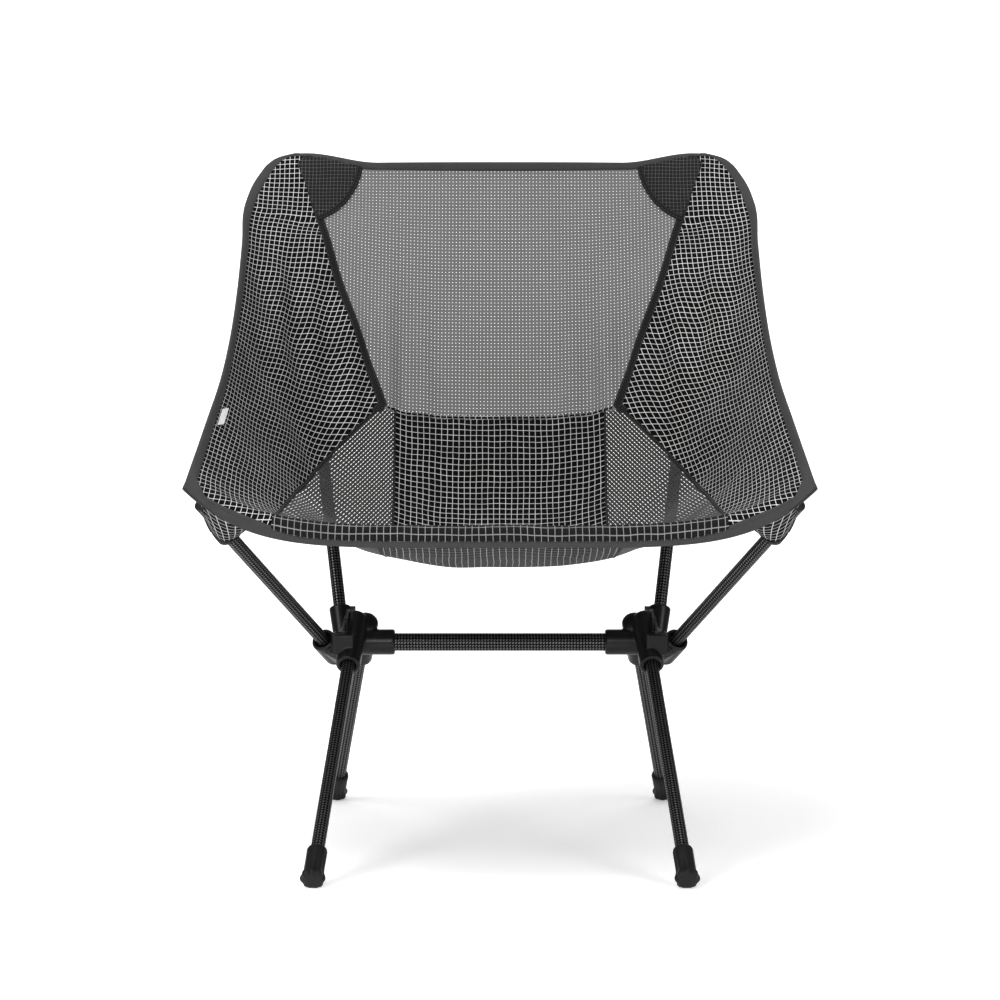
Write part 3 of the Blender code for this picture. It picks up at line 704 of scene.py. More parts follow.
def band(name, chart, rows, width, thick, looks, stitches, fold=False, lift=0.0):
    """A sewn band swept along rows of the sling.

    chart(t, a) gives (u, v) at share t along the band and a metres in from its first edge.
    fold rounds the first edge, as where a tape is folded over a raw edge."""
    t = np.linspace(0.0, 1.0, rows)
    half = thick / 2
    if fold:
        inward = [0.0, 0.0004, 0.0014, 0.0034, width * 0.6, width - 0.0010, width - 0.0002]
        rises = [0.0, 0.55, 0.9, 1.0, 0.82, 0.62, 0.35]
    else:
        inward = [0.0, 0.0006, 0.0022, width * 0.5, width - 0.0012, width - 0.0003]
        rises = [0.55, 0.85, 1.0, 0.92, 0.80, 0.45]
    section = list(zip(inward, rises))
    section += [(a, -r) for a, r in section[:0 if fold else None:-1]]
    points = np.stack([surface(*chart(t, a), r * half + lift) for a, r in section], axis=1)
    ring, run = travel(np.array(section) * (1.0, half)), travel(points[:, 0])
    uv = np.stack(np.broadcast_arrays(ring, run[:, None]), axis=-1).reshape(-1, 2)
    verts = points.reshape(-1, 3)
    faces = grid_faces(rows, len(section), closed_columns=True)
    faces.append(tuple(range(len(section) - 1, -1, -1)))
    faces.append(tuple(range(len(verts) - len(section), len(verts))))
    marks = [0] * len(faces)
    for a in stitches:
        for face_side in (1, -1):
            u, v = chart(t, a)
            path = surface(u, v, face_side * half * 0.98 + lift)
            more, more_faces = stitch_row(path, sling_normal(u, v) * face_side)
            faces += [tuple(i + len(verts) for i in face) for face in more_faces]
            marks += [1] * len(more_faces)
            verts = np.concatenate([verts, more])
            uv = np.concatenate([uv, more[:, :2]])
    item = from_arrays(name, verts, faces, uv, looks, marks)
    mend(item)
    item.data.set_sharp_from_angle(angle=math.radians(50))
    return item


# ---------------------------------------------------------------- bindings round the sling
def edge_speed_u(v):
    """Metres for each unit of u at the side edge."""
    step = 0.01
    return np.linalg.norm(sling(np.ones_like(v), v) - sling(np.ones_like(v) - step, v), axis=-1) / step


def edge_speed_v(u, low):
    """Metres for each unit of v at the front or top hem."""
    step = 0.004
    start, stop = (0.0, step) if low else (1.0 - step, 1.0)
    return np.linalg.norm(sling(u, np.full_like(u, stop)) - sling(u, np.full_like(u, start)), axis=-1) / step


def make_side_bindings(word, side):
    """The folded tape along the sling's side, in a lower and an upper piece."""
    width = SIDE_BINDING_WIDTH
    for which, part, low, high in (("front", "lower", 0.004, 0.50), ("top", "upper", 0.50, 1.0)):

        def chart(t, a):
            v = low + (high - low) * t
            return side * (1.0 - a / edge_speed_u(v)), v

        name, looks = f"side_binding_{part}_{word}", [BINDING, THREAD]
        item = band(name, chart, 150, width, BINDING_THICK, looks, (width - 0.0022,), fold=True)
        assign(item, (which, word), "binding", f"side_binding_{word}")


def make_hem_binding(word, side, which):
    """Half of the folded tape along the front or top hem, from the middle out to the corner."""
    low = which == "front"
    width = FRONT_BINDING_WIDTH if low else TOP_BINDING_WIDTH

    def chart(t, a):
        u = side * t * (1.0 if low else 0.985)
        wider = 1.0 + (0.9 * soft_step(t, 0.60, 0.84) if low else 0.0)
        inward = a * wider / edge_speed_v(np.abs(u), low)
        return u, inward if low else 1.0 - inward

    name, looks = f"{which}_binding_{word}", [BINDING, THREAD]
    item = band(name, chart, 150, width, BINDING_THICK, looks, (width - 0.0020,), fold=True)
    assign(item, (which, word), "binding", f"{which}_binding")


# ---------------------------------------------------------------- cloth panels
def make_seat_panel():
    """The ripstop seat between the front strip and the back."""
    v, u = over_grid(150, 90, (STRIP_V - 0.006, SEAT_BACK_V), (-SEAT_PANEL_U, SEAT_PANEL_U))
    uv = np.stack([u * half_width(v) + RIPSTOP_PITCH / 2, length_at(v)], axis=-1)
    item = grid_object("seat_panel_cloth", surface(u, v), uv, [RIPSTOP, RIPSTOP_BACK], CLOTH, 1)
    assign(item, "frame", "ripstop", "seat_panel")


def make_front_strip(word, side):
    """Half of the doubled ripstop strip behind the front hem."""
    v, a = over_grid(14, 90, (HEM_V * 0.5, STRIP_V), (0.0, STRIP_U))
    u = side * a[:, ::side]
    uv = np.stack([u * half_width(v) + RIPSTOP_PITCH / 2, length_at(v) * 0.80], axis=-1)
    looks = [RIPSTOP_HEM, RIPSTOP_BACK]
    item = grid_object(f"front_strip_{word}", surface(u, v, 0.0006), uv, looks, CLOTH * 1.6, 1)
    assign(item, ("front", word), "ripstop", "front_strip")


EDGE_BEND = 344  # the row of V_FINE where the side edge starts to turn in to the top corner
EDGE_BEFORE = 40  # rows before it that give the edge's direction


def from_edge(points):
    """Cloth coordinates of right-hand points: in from the side edge, straight on past the corner, and up."""
    edge = sling(np.ones(len(V_FINE)), V_FINE)
    step = (edge[EDGE_BEND] - edge[EDGE_BEND - EDGE_BEFORE]) / EDGE_BEFORE
    edge[EDGE_BEND:] = edge[EDGE_BEND] + step * np.arange(len(V_FINE) - EDGE_BEND)[:, None]
    run = travel(edge)
    gaps = np.linalg.norm(points[..., None, :] - edge, axis=-1)
    nearest = np.clip(gaps.argmin(axis=-1), 1, len(V_FINE) - 2)
    three = np.take_along_axis(gaps, nearest[..., None] + np.array([-1, 0, 1]), axis=-1) ** 2
    bend = three[..., 0] - 2 * three[..., 1] + three[..., 2]
    shift = np.clip((three[..., 0] - three[..., 2]) / (2 * np.maximum(bend, 1e-12)), -0.5, 0.5)
    along = np.interp(V_FINE[nearest] + shift * V_FINE[1], V_FINE, run)
    return np.stack([gaps.min(axis=-1), 0.35 * along + 0.65 * points[..., 2]], axis=-1)


def make_side_panels(word, side):
    """The ripstop flank, in a lower and an upper piece that meet half way up."""
    for which, part, low, high in (("front", "lower", 0.012, 0.5), ("top", "upper", 0.5, 0.992)):
        v, share = over_grid(120, 70, (low, high), (0.0, 1.0))
        inner = np.minimum(seam_u(v), 0.96)
        a = (inner + (0.985 - inner) * share)[:, ::side]
        looks = [RIPSTOP_SIDE, RIPSTOP_BACK]
        item = grid_object(f"side_panel_{part}_{word}", surface(side * a, v), from_edge(sling(a, v)),
                           looks, CLOTH, 1)
        assign(item, (which, word), "ripstop", f"side_panel_{word}")


def open_cells(name, corners, look, hole, thickness):
    """An open mesh from quads (n, 4, (u, v)).

    Yarn runs round a rounded hole, and hole is its share of the cell each way."""
    unique, index = np.unique(np.round(corners.reshape(-1, 2), 6), axis=0, return_inverse=True)
    index = index.reshape(-1, 4)
    middle = corners.mean(axis=1)
    first = (corners[:, 1] - corners[:, 0]) / 2 * hole[0]
    second = (corners[:, 3] - corners[:, 0]) / 2 * hole[1]
    ring = []
    for a, b in ((-1, -1), (0, -1), (1, -1), (1, 0), (1, 1), (0, 1), (-1, 1), (-1, 0)):
        ring.append(middle + (first * a + second * b) * (0.80 if a and b else 1.0))
    uv = np.concatenate([unique, np.stack(ring, axis=1).reshape(-1, 2)])
    faces = []
    for base, outer in zip(range(len(unique), len(uv), 8), index):
        for k in range(4):
            ends = base + 2 * k, base + 2 * k + 1, base + (2 * k + 2) % 8
            faces.append((outer[k], outer[(k + 1) % 4], *ends[::-1]))
    u, v = uv.T
    metres = np.stack([u * half_width(v), length_at(v)], axis=-1)
    item = from_arrays(name, surface(u, v), faces, metres, [look])
    thicken(item, thickness, 60)
    return item


def lattice(first, second, point, place, keep):
    """Quads of a lattice.

    point(i, j) gives (x, height), place turns it into (u, v) and keep(u, v) says what belongs."""
    i, j = (np.arange(low, high + 1) for low, high in (first, second))
    u, v = place(*point(*np.meshgrid(i, j, indexing="ij")))
    inside = keep(u, v)
    start, end = slice(None, -1), slice(1, None)
    corners = [(start, start), (end, start), (end, end), (start, end)]
    whole = np.logical_and.reduce([inside[corner] for corner in corners])
    return np.stack([np.stack([u[corner][whole], v[corner][whole]], axis=-1) for corner in corners], axis=1)


def bisect(shape, low, high, rounds, below):
    """For many points at once, the place between low and high where below(place) stops being true."""
    low, high = np.full(shape, low), np.full(shape, high)
    for _ in range(rounds):
        middle = (low + high) / 2
        under = below(middle)
        low, high = np.where(under, middle, low), np.where(under, high, middle)
    return (low + high) / 2


def make_back_mesh(word, side):
    """Half of the open mesh back, its rows level and its columns upright."""
    pitch = BACK_MESH_PITCH
    low = length_at(SEAT_BACK_V - 0.006)
    rows = int((CENTRE_LENGTH[-1] - low) / pitch)
    reach = int(0.25 / pitch)

    def point(i, j):
        return i * pitch, low + j * pitch

    def place(x, height):
        v = v_at(height)
        return x / half_width(v), v

    def keep(u, v):
        return (np.abs(u) <= np.minimum(seam_u(v) + TAPE_SHARE * 0.20, 0.95)) & (v < 0.997)

    quads = lattice((0, reach) if side > 0 else (-reach, 0), (0, rows), point, place, keep)
    item = open_cells(f"back_mesh_{word}", quads, BACK_STRAND, (0.29, 0.29), 0.0005)
    assign(item, ("top", word), "open_mesh", "back_mesh_panel")


def seat_mesh_chart():
    """A height that always grows with v, for every |u|.

    It grows as the sling's own where that rises, and less where that is level."""
    u, v = over_grid(81, 261, (0.0, 1.0), (0.0, SEAT_BACK_V))
    points = sling(u, v)
    steps = np.diff(points, axis=1)
    rise = np.maximum(steps[..., 2] + 0.04 * steps[..., 1], 0.3 * np.linalg.norm(steps, axis=-1))
    heights = np.concatenate([np.zeros((len(u), 1)), np.cumsum(rise, axis=1)], axis=1)
    return heights + (points[:, -1:, 2] + 0.04 * points[:, -1:, 1] - heights[:, -1:])


def make_seat_mesh(word, side, chart):
    """The open mesh triangle between the seat and the flank, its rows on the diagonal."""
    pitch = SEAT_MESH_PITCH / math.sqrt(2)
    rows, columns = chart.shape

    def point(i, j):
        return side * (i - j) * pitch, 0.36 + (i + j) * pitch

    def place(x, height):
        def below(v):
            row = np.clip(np.abs(x / half_width(v)), 0.0, 1.0) * (rows - 1)
            column = v / SEAT_BACK_V * (columns - 1)
            a, b = np.minimum(row.astype(int), rows - 2), np.minimum(column.astype(int), columns - 2)
            p, q = row - a, column - b
            near = chart[a, b] * (1 - p) + chart[a + 1, b] * p
            far = chart[a, b + 1] * (1 - p) + chart[a + 1, b + 1] * p
            return near * (1 - q) + far * q < height

        v = bisect(x.shape, 0.0, SEAT_BACK_V, 24, below)
        return x / half_width(v), v

    def keep(u, v):
        reach = u * side
        level = (v > STRIP_V - 0.008) & (v < SEAT_BACK_V - 0.002)
        return (reach >= SEAT_PANEL_U - 0.008) & (reach <= seam_u(v) + 0.008) & level

    quads = lattice((-60, 110), (-110, 30), point, place, keep)
    item = open_cells(f"seat_mesh_cloth_{word}", quads, SEAT_STRAND, (0.22, 0.70), 0.0004)
    assign(item, ("front", word), "open_mesh", f"seat_mesh_{word}")


def make_seam_tape(word, side):
    """The broad tape over the seam between the back mesh and the flank."""

    def chart(t, a):
        v = SEAT_BACK_V - 0.012 + (1.0 - SEAT_BACK_V + 0.010) * t
        return side * (np.minimum(seam_u(v), 0.955) + (a - 0.0045) / half_width(v)), v

    item = band(f"back_tape_{word}", chart, 120, 0.0090, TAPE_THICK, [TAPE, THREAD], (0.0014, 0.0076))
    assign(item, ("top", word), "binding", f"seam_tape_{word}")


def make_flat_seams(word, side):
    """The narrow felled seams: flank to seat mesh, and seat mesh to seat panel."""
    for name, centre, width in (("flank_seam", seam_u, 0.0028),
                                ("seat_seam", lambda v: SEAT_PANEL_U, 0.0022)):

        def chart(t, a):
            v = 0.05 + (SEAT_BACK_V - 0.05) * t
            return side * (centre(v) + (a - width / 2) / half_width(v)), v

        item = band(f"{name}_{word}", chart, 150, width, 0.0013, [TAPE, THREAD], (width * 0.5,))
        assign(item, ("front", word), "binding")


def make_back_seam():
    """The seam where the back mesh is sewn into the seat panel, with its pale edge yarn."""

    def chart(t, a):
        u = (2 * t - 1) * (SEAT_PANEL_U + 0.03)
        return u, SEAT_BACK_V - 0.004 + a / edge_speed_v(u, False)

    item = band("back_seam", chart, 160, 0.0040, 0.0013, [RIPSTOP, PALE_THREAD], (0.0032,))
    assign(item, "frame", "ripstop")


# ---------------------------------------------------------------- corners, pockets and trim
PATCH_CENTRE = (0.2004, 0.6330)
PATCH_R = 0.0665
PATCH_TURNS = (math.radians(248.5), math.radians(174.0))
PATCH_LIFT = 0.0010


def patch_place(radius, turned, side):
    """(u, v) of the patch's point at this radius and turn, as seen from the front."""
    x = PATCH_CENTRE[0] + radius * np.cos(turned)
    z = PATCH_CENTRE[1] + radius * np.sin(turned)

    def across(v):
        return np.clip(x / half_width(v), -1.0, 1.0)

    v = bisect(np.shape(x), 0.70, 1.0, 30, lambda v: sling(across(v), v)[..., 2] < z)
    return side * across(v), np.minimum(v, 0.993)


def make_patch(word, side):
    """The quarter-round reinforcement on the top corner, with its bound edge."""
    radius, turned = over_grid(26, 40, (0.004, PATCH_R - 0.003), PATCH_TURNS)
    u, v = patch_place(radius, turned, side)
    points = surface(u, v, PATCH_LIFT)[:, ::side]
    item = grid_object(f"corner_patch_{word}", points, points[..., ::2], [PATCH], 0.0007)
    assign(item, ("top", word), "binding", f"top_corner_patch_{word}")

    def rim(t, a):
        return patch_place(PATCH_R - a, PATCH_TURNS[0] + (PATCH_TURNS[1] - PATCH_TURNS[0]) * t, side)

    looks, lift = [WEBBING, THREAD], PATCH_LIFT + 0.0004
    item = band(f"patch_rim_{word}", rim, 60, 0.0056, 0.0011, looks, (0.0012, 0.0044), lift=lift)
    assign(item, ("top", word), "binding", f"top_corner_patch_{word}")


def cloth_piece(name, u, v, lift, look, thickness, body, *nodes):
    """A small sewn-on cloth over a rectangle of (u, v) points."""
    uv = np.stack([u * half_width(v), length_at(v)], axis=-1)
    item = grid_object(name, surface(u, v, lift), uv, [look], thickness)
    mend(item)
    item.data.set_sharp_from_angle(angle=math.radians(45))
    assign(item, body, "binding", *nodes)


def make_top_corner(word, side):
    """The webbing sewn behind the top corner, which carries the pole's pocket."""
    v, a = over_grid(16, 20, (0.935, 0.989), (0.80, 0.965))
    name, body = f"top_corner_web_{word}", f"top_pocket_{word}"
    cloth_piece(name, side * a, v, -0.0019, WEBBING, 0.0012, body, f"top_corner_{word}")


def make_front_corner(word, side):
    """The folded triangle of tape over the front corner."""
    t, s = over_grid(14, 14, (0.0, 1.0), (0.0, 1.0))
    u = side * (0.998 - 0.085 * s * (1.0 - t * 0.75))
    name, body = f"corner_fold_{word}", f"front_pocket_{word}"
    cloth_piece(name, u, 0.002 + 0.060 * t, 0.0018, BINDING, 0.0010, body, f"front_corner_{word}")


def front_pouch(s, turned, side, lift):
    """The pouch under the front corner: its ring on the cloth at s = 0, its mouth on the arm at s = 1."""
    on_cloth = surface(0.885 + 0.100 * np.cos(turned), 0.046 + 0.041 * np.sin(turned), -0.0012)
    mouth, tip = ARM
    way = (mouth - tip).normalized()
    centre, tip, inward = np.array(tip + way * POCKET_REACH), np.array(tip), np.array(way)
    across = unit(np.array((1.0, 0.0, 0.0)) - inward * inward[0])
    behind = np.cross(inward, across)
    behind = behind * (1 if behind[1] > 0 else -1)
    ring = centre + 0.0090 * (np.cos(turned)[..., None] * across + np.sin(turned)[..., None] * behind)
    share = s[..., None]
    eased = share ** 0.8
    points = on_cloth * (1 - eased) + ring * eased
    middle = (tip + inward * 0.012) * (1 - share) + centre * share
    sag = (0.0025 + 0.0006 * np.sin(5 * turned[..., None] + 3 * share)) * np.sin(math.pi * share)
    return (points + unit(points - middle) * (sag + lift)) * (side, 1.0, 1.0)


def make_front_pocket(word, side):
    """The ripstop pouch on the arm's tip, with its hem, edge webbing and tab."""
    full = (0.0, math.tau)
    for name, reach, turns, lift, look, thickness, rows, columns, slot in (
        ("front_pouch", (0.0, 1.0), full, 0.0, RIPSTOP, 0.0006, 26, 73, "ripstop"),
        ("pouch_hem", (0.84, 1.01), full, 0.0008, WEBBING, 0.0010, 6, 73, "binding"),
        ("pouch_web", (0.0, 0.80), (-0.42, 0.42), 0.0010, WEBBING, 0.0011, 20, 14, "binding"),
        ("pouch_tab", (0.0, 0.93), (math.pi - 0.34, math.pi + 0.34),
         0.0010, WEBBING, 0.0011, 20, 12, "binding"),
    ):
        s, turned = over_grid(rows, columns, reach, turns)
        uv = np.stack([turned * 0.018, s * 0.05], axis=-1)
        item = grid_object(f"{name}_{word}", front_pouch(s, turned, side, lift), uv, [look], thickness)
        mend(item, 1e-5)
        item.data.set_sharp_from_angle(angle=math.radians(50))
        assign(item, f"front_pocket_{word}", slot, f"front_pocket_{word}")


SLEEVE_OUTSIDE = [
    (0.0, 0.0062), (0.0035, 0.0058), (0.0060, 0.0040), (0.0072, 0.0010), (0.0080, -0.018), (0.0087, -0.0385),
]
SLEEVE_INSIDE = [(0.0079, -0.0385), (0.0072, -0.018), (0.0064, 0.0), (0.0052, 0.0034), (0.0, 0.0050)]
SLEEVE_HEM = [
    (0.0090, -0.0330), (0.0096, -0.0336), (0.0097, -0.0380), (0.0092, -0.0390), (0.0086, -0.0386),
    (0.0085, -0.0332),
]


def make_top_pocket(word, side):
    """The ripstop sleeve over the rear pole's tip, with its hem and the strap to the corner webbing."""
    mouth, tip = (mirrored(point, side) for point in REAR_POLE)
    body = node = f"top_pocket_{word}"
    out = tip - mouth
    sleeve = lathe(f"top_sleeve_{word}", SLEEVE_OUTSIDE + SLEEVE_INSIDE, [RIPSTOP])
    assign(stand(sleeve, tip, out), body, "ripstop", node)
    hem = lathe(f"top_sleeve_hem_{word}", SLEEVE_HEM + SLEEVE_HEM[:1], [WEBBING])
    assign(stand(hem, tip, out), body, "binding", node)
    t, s = over_grid(20, 12, (0.0, 1.0), (-1.0, 1.0))
    low = surface(side * (0.90 + 0.045 * s), 0.972, -0.0030)
    over = np.array(tip) + np.array(out.normalized()) * 0.0070 + (0.0, 0.0005, 0.0)
    far = over + s[..., None] * (side * 0.0036, 0.0, 0.0)
    points = low * (1 - t[..., None]) + far * t[..., None]
    points[..., 2] += 0.004 * np.sin(math.pi * t)
    strap = grid_object(f"top_strap_{word}", points, np.stack([s * 0.008, t * 0.03], axis=-1),
                        [WEBBING], 0.0011)
    mend(strap)
    assign(strap, body, "binding")


def make_label():
    """The blank sewn-in label at the left binding's inner edge."""
    v, a = over_grid(16, 10, (0.290, 0.340), (0.0190, 0.0122))
    v = v - np.linspace(0.0, 0.022, 10)
    cloth_piece("blank_label", -(1.0 - a / edge_speed_u(v)), v, 0.0013, LABEL, 0.0004, ("front", "left"))


# ---------------------------------------------------------------- hubs
def hull(name, points):
    bm = bmesh.new()
    for point in points:
        bm.verts.new(point)
    made = bmesh.ops.convex_hull(bm, input=bm.verts[:])
    inside = [g for g in made["geom_interior"] if isinstance(g, bmesh.types.BMVert)]
    bmesh.ops.delete(bm, geom=inside)
    bmesh.ops.recalc_face_normals(bm, faces=bm.faces[:])
    return from_bmesh(name, bm)


def from_bmesh(name, bm):
    mesh = bpy.data.meshes.new(name)
    bm.to_mesh(mesh)
    bm.free()
    return new_object(name, mesh, [HUB_PLASTIC])


def ring_points(mouth, far, depth, radius, sides=24):
    inward = (mouth - far).normalized()
    turn = inward.to_track_quat("Z", "Y")
    turns = [math.tau * k / sides for k in range(sides)]
    return [mouth + inward * depth + turn @ (Vector((math.cos(t), math.sin(t), 0.0)) * radius) for t in turns]


def barrel(name, socket, radius, length, taper=1.0):
    """A socket's outside, with a softened mouth and a domed closed end."""
    mouth, far = socket
    profile = [(0.0, 0.0), (radius - 0.0012, 0.0), (radius, 0.0012), (radius * taper, length)]
    for step in range(1, 9):
        turn = math.pi / 2 * step / 8
        profile.append((radius * taper * math.cos(turn), length + 0.6 * radius * math.sin(turn)))
    return stand(lathe(name, profile, [HUB_PLASTIC]), mouth, mouth - far)


def bore(name, socket, radius, depth, wide, wide_depth):
    """What is cut out of a socket: its bore, a wider mouth and a softened rim."""
    mouth, far = socket
    profile = [(0.0, depth), (radius, depth), (radius, wide_depth + 0.0008), (wide, wide_depth)]
    profile += [(wide, 0.0007), (wide + 0.0009, -0.0003), (wide + 0.0009, -0.02), (0.0, -0.02)]
    return stand(lathe(name, profile, [HUB_PLASTIC]), mouth, mouth - far)


def box_points(centre, size, turn=0.0):
    """The corners of a box turned about X."""
    rotation = Matrix.Rotation(turn, 3, "X")
    corners = itertools.product((-0.5, 0.5), repeat=3)
    return [centre + rotation @ Vector([share * width for share, width in zip(corner, size)])
            for corner in corners]


def joined(name, items):
    """One object holding the faces of all items."""
    bm = bmesh.new()
    for item in items:
        item.data.transform(item.matrix_world)
        bm.from_mesh(item.data)
    for item in items:
        discard(item)
    return from_bmesh(name, bm)


def make_right_hub():
    """The moulded hub's mesh: rounded sockets grown together, then bored."""
    parts = [
        barrel("front_barrel", FRONT_LEG, LEG_BARREL_R, 0.060),
        barrel("rear_barrel", REAR_LEG, LEG_BARREL_R, 0.052),
        barrel("pole_socket", REAR_POLE, POLE_SOCKET_R, 0.040, 0.86),
        barrel("arm_socket", ARM, ARM_SOCKET_R, 0.028),
    ]
    length = CORE.x - SLEEVE_START_X
    sleeve = [(0.0, 0.0), (SLEEVE_R - 0.0012, 0.0), (SLEEVE_R, 0.0012), (SLEEVE_R, length), (0.0, length)]
    start = Vector((SLEEVE_START_X, CROSSBAR.y, CROSSBAR.z))
    parts.append(stand(lathe("sleeve", sleeve, [HUB_PLASTIC]), start, (1.0, 0.0, 0.0)))
    web = ring_points(*ARM, 0.004, 0.0098) + ring_points(*ARM, 0.026, 0.0092)
    web += ring_points(*FRONT_LEG, 0.006, 0.0060) + ring_points(*FRONT_LEG, 0.026, 0.0085)
    parts += [hull("web", web), hull("block", box_points(BLOCK, BLOCK_SIZE))]
    bm = bmesh.new()
    core = Matrix.Translation(CORE) @ Matrix.Diagonal((*CORE_SIZE, 1.0))
    bmesh.ops.create_uvsphere(bm, u_segments=32, v_segments=20, radius=1.0, matrix=core)
    parts.append(from_bmesh("core", bm))
    parts.append(hull("fin", box_points(Vector((0.1385, 0.004, 0.194)), (0.0030, 0.030, 0.020), 0.25)))
    pole_in = (REAR_POLE[0] - REAR_POLE[1]).normalized()
    ledge = REAR_POLE[0] + pole_in * 0.004 + Vector((-0.0095, -0.003, 0.0))
    parts.append(hull("ledge", box_points(ledge, (0.009, 0.012, 0.006), 0.30)))
    hub = joined("hub_shape", parts)
    remesh = hub.modifiers.new("grow", "REMESH")
    remesh.mode = "VOXEL"
    remesh.voxel_size = HUB_GRAIN
    smooth = hub.modifiers.new("soften", "SMOOTH")
    smooth.factor = 0.5
    smooth.iterations = 5
    settle(hub)
    snug, bar = TUBE_R + GAP, CROSSBAR_R + GAP
    tools = [
        bore("front_bore", FRONT_LEG, snug, SOCKET_DEPTH, 0.0072, 0.003),
        bore("rear_bore", REAR_LEG, snug, SOCKET_DEPTH, 0.0072, 0.003),
        bore("pole_bore", REAR_POLE, snug, SOCKET_DEPTH, 0.0072, 0.003),
        bore("arm_bore", ARM, snug, ARM_DEPTH, 0.0078, 0.009),
        bore("bar_bore", (start, start - Vector((1.0, 0.0, 0.0))), bar,
             BAR_END_X + GAP - SLEEVE_START_X, bar, 0.002),
    ]
    for tool in tools:
        cut = hub.modifiers.new("bore", "BOOLEAN")
        cut.object = tool
        cut.operation = "DIFFERENCE"
        cut.solver = "MANIFOLD"
        settle(hub)
        discard(tool)
    mesh = hub.data
    bpy.data.objects.remove(hub)
    return mesh


def make_hub(word, side, shape):
    mesh = shape.copy()
    if side < 0:
        mesh.transform(Matrix.Scale(-1.0, 4, (1.0, 0.0, 0.0)))
        mesh.flip_normals()
    mesh.materials.clear()
    item = new_object(f"moulded_hub_{word}", mesh, [HUB_PLASTIC])
    soften(item, 38)
    assign(item, "frame", "hub", f"hub_{word}")


# ---------------------------------------------------------------- feet
FOOT_INSIDE_R = TUBE_R + GAP
FOOT_PROFILE = [
    (FOOT_INSIDE_R, FOOT_HEIGHT),
    (FOOT_SLEEVE_R - 0.0016, FOOT_HEIGHT),
    (FOOT_SLEEVE_R - 0.0004, FOOT_HEIGHT - 0.0012),
    (FOOT_SLEEVE_R, FOOT_HEIGHT - 0.0026),
    (FOOT_SLEEVE_R, 0.0230),
    (FOOT_SLEEVE_R, 0.0120),
    (FOOT_SLEEVE_R + 0.0004, 0.0098),
    (FOOT_RIM_R - 0.0005, 0.0070),
    (FOOT_RIM_R, 0.0058),
    (FOOT_RIM_R, 0.0034),
    (FOOT_RIM_R - 0.0008, 0.0018),
    (FOOT_RIM_R - 0.0026, 0.0006),
    (FOOT_RIM_R - 0.0060, 0.0001),
    (0.0, 0.0),
    (0.0, 0.009),
    (FOOT_INSIDE_R, 0.009),
    (FOOT_INSIDE_R, FOOT_HEIGHT),
]


def make_foot(leg, axis, word, side):
    """A rubber boot with a ribbed sleeve and a lobed tread, worn flat on the ground."""
    item = lathe(f"rubber_{leg}_foot_{word}", FOOT_PROFILE, [FOOT_RUBBER], steps=96)
    for vert in item.data.vertices:
        radius, turned = math.hypot(vert.co.x, vert.co.y), math.atan2(vert.co.y, vert.co.x)
        depth = 0.0
        if radius > FOOT_SLEEVE_R + 0.0006:
            depth = 0.12
        elif radius > FOOT_SLEEVE_R - 0.0001 and vert.co.z < 0.030:
            depth = 0.08
        shrink = 1.0 - depth * (1.0 - math.cos(8 * turned)) / 2
        vert.co.x *= shrink
        vert.co.y *= shrink
    mouth, end = (mirrored(point, side) for point in axis)
    stand(item, end, mouth - end)
    for vert in item.data.vertices:
        vert.co.z = max(vert.co.z, 0.0)
    assign(item, f"{leg}_leg_{word}", "foot", f"{leg}_foot_{word}")


# ---------------------------------------------------------------- CAD pieces kept as they are
def dress_cad():
    """Caps, ferrules and cords keep their CAD shape under these finishes."""
    looks = {"_cap_": CAP_PLASTIC, "_ferrule_": ALLOY, "_cord_": CORD}
    for name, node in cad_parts.items():
        for part, look in looks.items():
            if part in name:
                node.data.materials.clear()
                node.data.materials.append(look)
                soften(node, 35)


# ---------------------------------------------------------------- scene, camera, light
CAMERA_HEIGHT = 0.397
CAMERA_BACK = 2.2
CAMERA_DROP = math.atan(0.04095)
CAMERA_LENS = 87.9

FLOOR_FRONT = -1.3
FLOOR_BACK = 2.2
FLOOR_HALF = 1.5
CURVE_R = 0.6
WALL_TOP = 1.6

# Each light: its name, place, what it points at, its two sizes and its power in watts
LIGHTS = [
    ("key", (-1.5, -1.5, 2.0), (0.0, 0.0, 0.3), (1.1, 1.5), 36.0),
    ("fill", (1.7, -1.5, 1.5), (0.0, 0.0, 0.3), (0.8, 1.5), 18.0),
    ("front", (-0.3, -2.6, 0.9), (0.0, 0.0, 0.3), (0.6, 0.6), 16.0),
    ("top", (0.0, 0.3, 2.6), (0.0, 0.0, 0.0), (2.4, 2.0), 40.0),
]


def make_camera():
    data = bpy.data.cameras.new("camera")
    data.lens = CAMERA_LENS
    data.sensor_width = 36.0
    data.clip_start = 0.05
    camera = bpy.data.objects.new("camera", data)
    camera.location = (0.0, -CAMERA_BACK, CAMERA_HEIGHT)
    camera.rotation_euler = (math.pi / 2 - CAMERA_DROP, 0.0, 0.0)
    bpy.context.scene.collection.objects.link(camera)
    bpy.context.scene.camera = camera


def area_light(name, place, aim, size, power):
    data = bpy.data.lights.new(name, "AREA")
    data.shape = "RECTANGLE"
    data.size, data.size_y = size
    data.energy = power
    light = bpy.data.objects.new(name, data)
    light.location = place
    light.rotation_mode = "QUATERNION"
    light.rotation_quaternion = (Vector(aim) - Vector(place)).to_track_quat("-Z", "Y")
    bpy.context.scene.collection.objects.link(light)


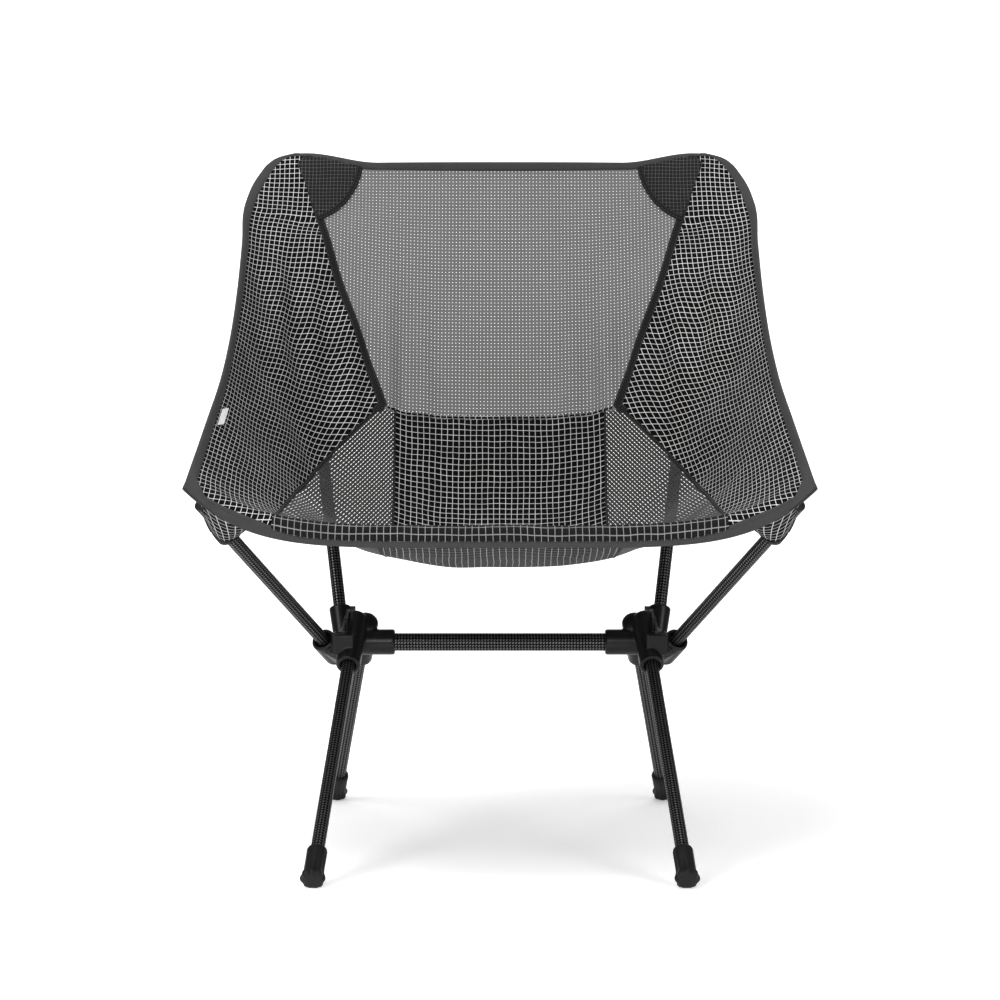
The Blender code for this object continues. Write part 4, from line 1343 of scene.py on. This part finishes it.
def make_world():
    """A dim even light from all round, seen as white paper."""
    world = bpy.data.worlds.new("studio")
    world.use_nodes = True
    nodes, links = world.node_tree.nodes, world.node_tree.links
    either = nodes.new("ShaderNodeMixShader")
    links.new(nodes.new("ShaderNodeLightPath").outputs["Is Camera Ray"], either.inputs[0])
    glow, paper = nodes["Background"], nodes.new("ShaderNodeBackground")
    for place, (shade, strength) in enumerate(((glow, 0.16), (paper, 1.0)), start=1):
        shade.inputs["Color"].default_value = WHITE
        shade.inputs["Strength"].default_value = strength
        links.new(shade.outputs[0], either.inputs[place])
    links.new(either.outputs[0], nodes["World Output"].inputs["Surface"])
    bpy.context.scene.world = world


def make_studio():
    """A white sweep: floor, curve and wall in one sheet, under large soft lights."""
    profile = [(FLOOR_FRONT, 0.0), (FLOOR_BACK, 0.0)]
    for step in range(1, 13):
        turn = math.pi / 2 * step / 12
        profile.append((FLOOR_BACK + CURVE_R * math.sin(turn), CURVE_R - CURVE_R * math.cos(turn)))
    profile.append((FLOOR_BACK + CURVE_R, WALL_TOP))
    points = np.array([[(x, y, z) for x in (-FLOOR_HALF, FLOOR_HALF)] for y, z in profile])
    sweep = grid_object("studio_sweep", points, points[..., :2], [floor_look()])
    sweep.location.z = -0.0002
    make_world()
    for light in LIGHTS:
        area_light(*light)
    view = bpy.context.scene.view_settings
    view.view_transform = "Standard"
    view.look = "None"
    view.gamma = 0.86


make_camera()
make_studio()

# ---------------------------------------------------------------- build
make_tube("crossbar", "frame")
make_seat_panel()
make_back_seam()
mesh_chart = seat_mesh_chart()
for word, side in SIDES.items():
    for leg in ("front_leg", "rear_leg"):
        make_tube(f"{leg}_{word}", f"{leg}_{word}")
    for tube in ("front_arm", "rear_pole_lower", "rear_pole_upper"):
        make_tube(f"{tube}_{word}", "frame")
    make_side_bindings(word, side)
    make_hem_binding(word, side, "front")
    make_hem_binding(word, side, "top")
    make_front_strip(word, side)
    make_side_panels(word, side)
    make_back_mesh(word, side)
    make_seat_mesh(word, side, mesh_chart)
    make_seam_tape(word, side)
    make_flat_seams(word, side)
    make_patch(word, side)
    make_top_corner(word, side)
    make_front_corner(word, side)
    make_front_pocket(word, side)
    make_top_pocket(word, side)
    make_foot("front", FRONT_LEG, word, side)
    make_foot("rear", REAR_LEG, word, side)
make_label()
hub_shape = make_right_hub()
for word, side in SIDES.items():
    make_hub(word, side, hub_shape)
bpy.data.meshes.remove(hub_shape)
dress_cad()
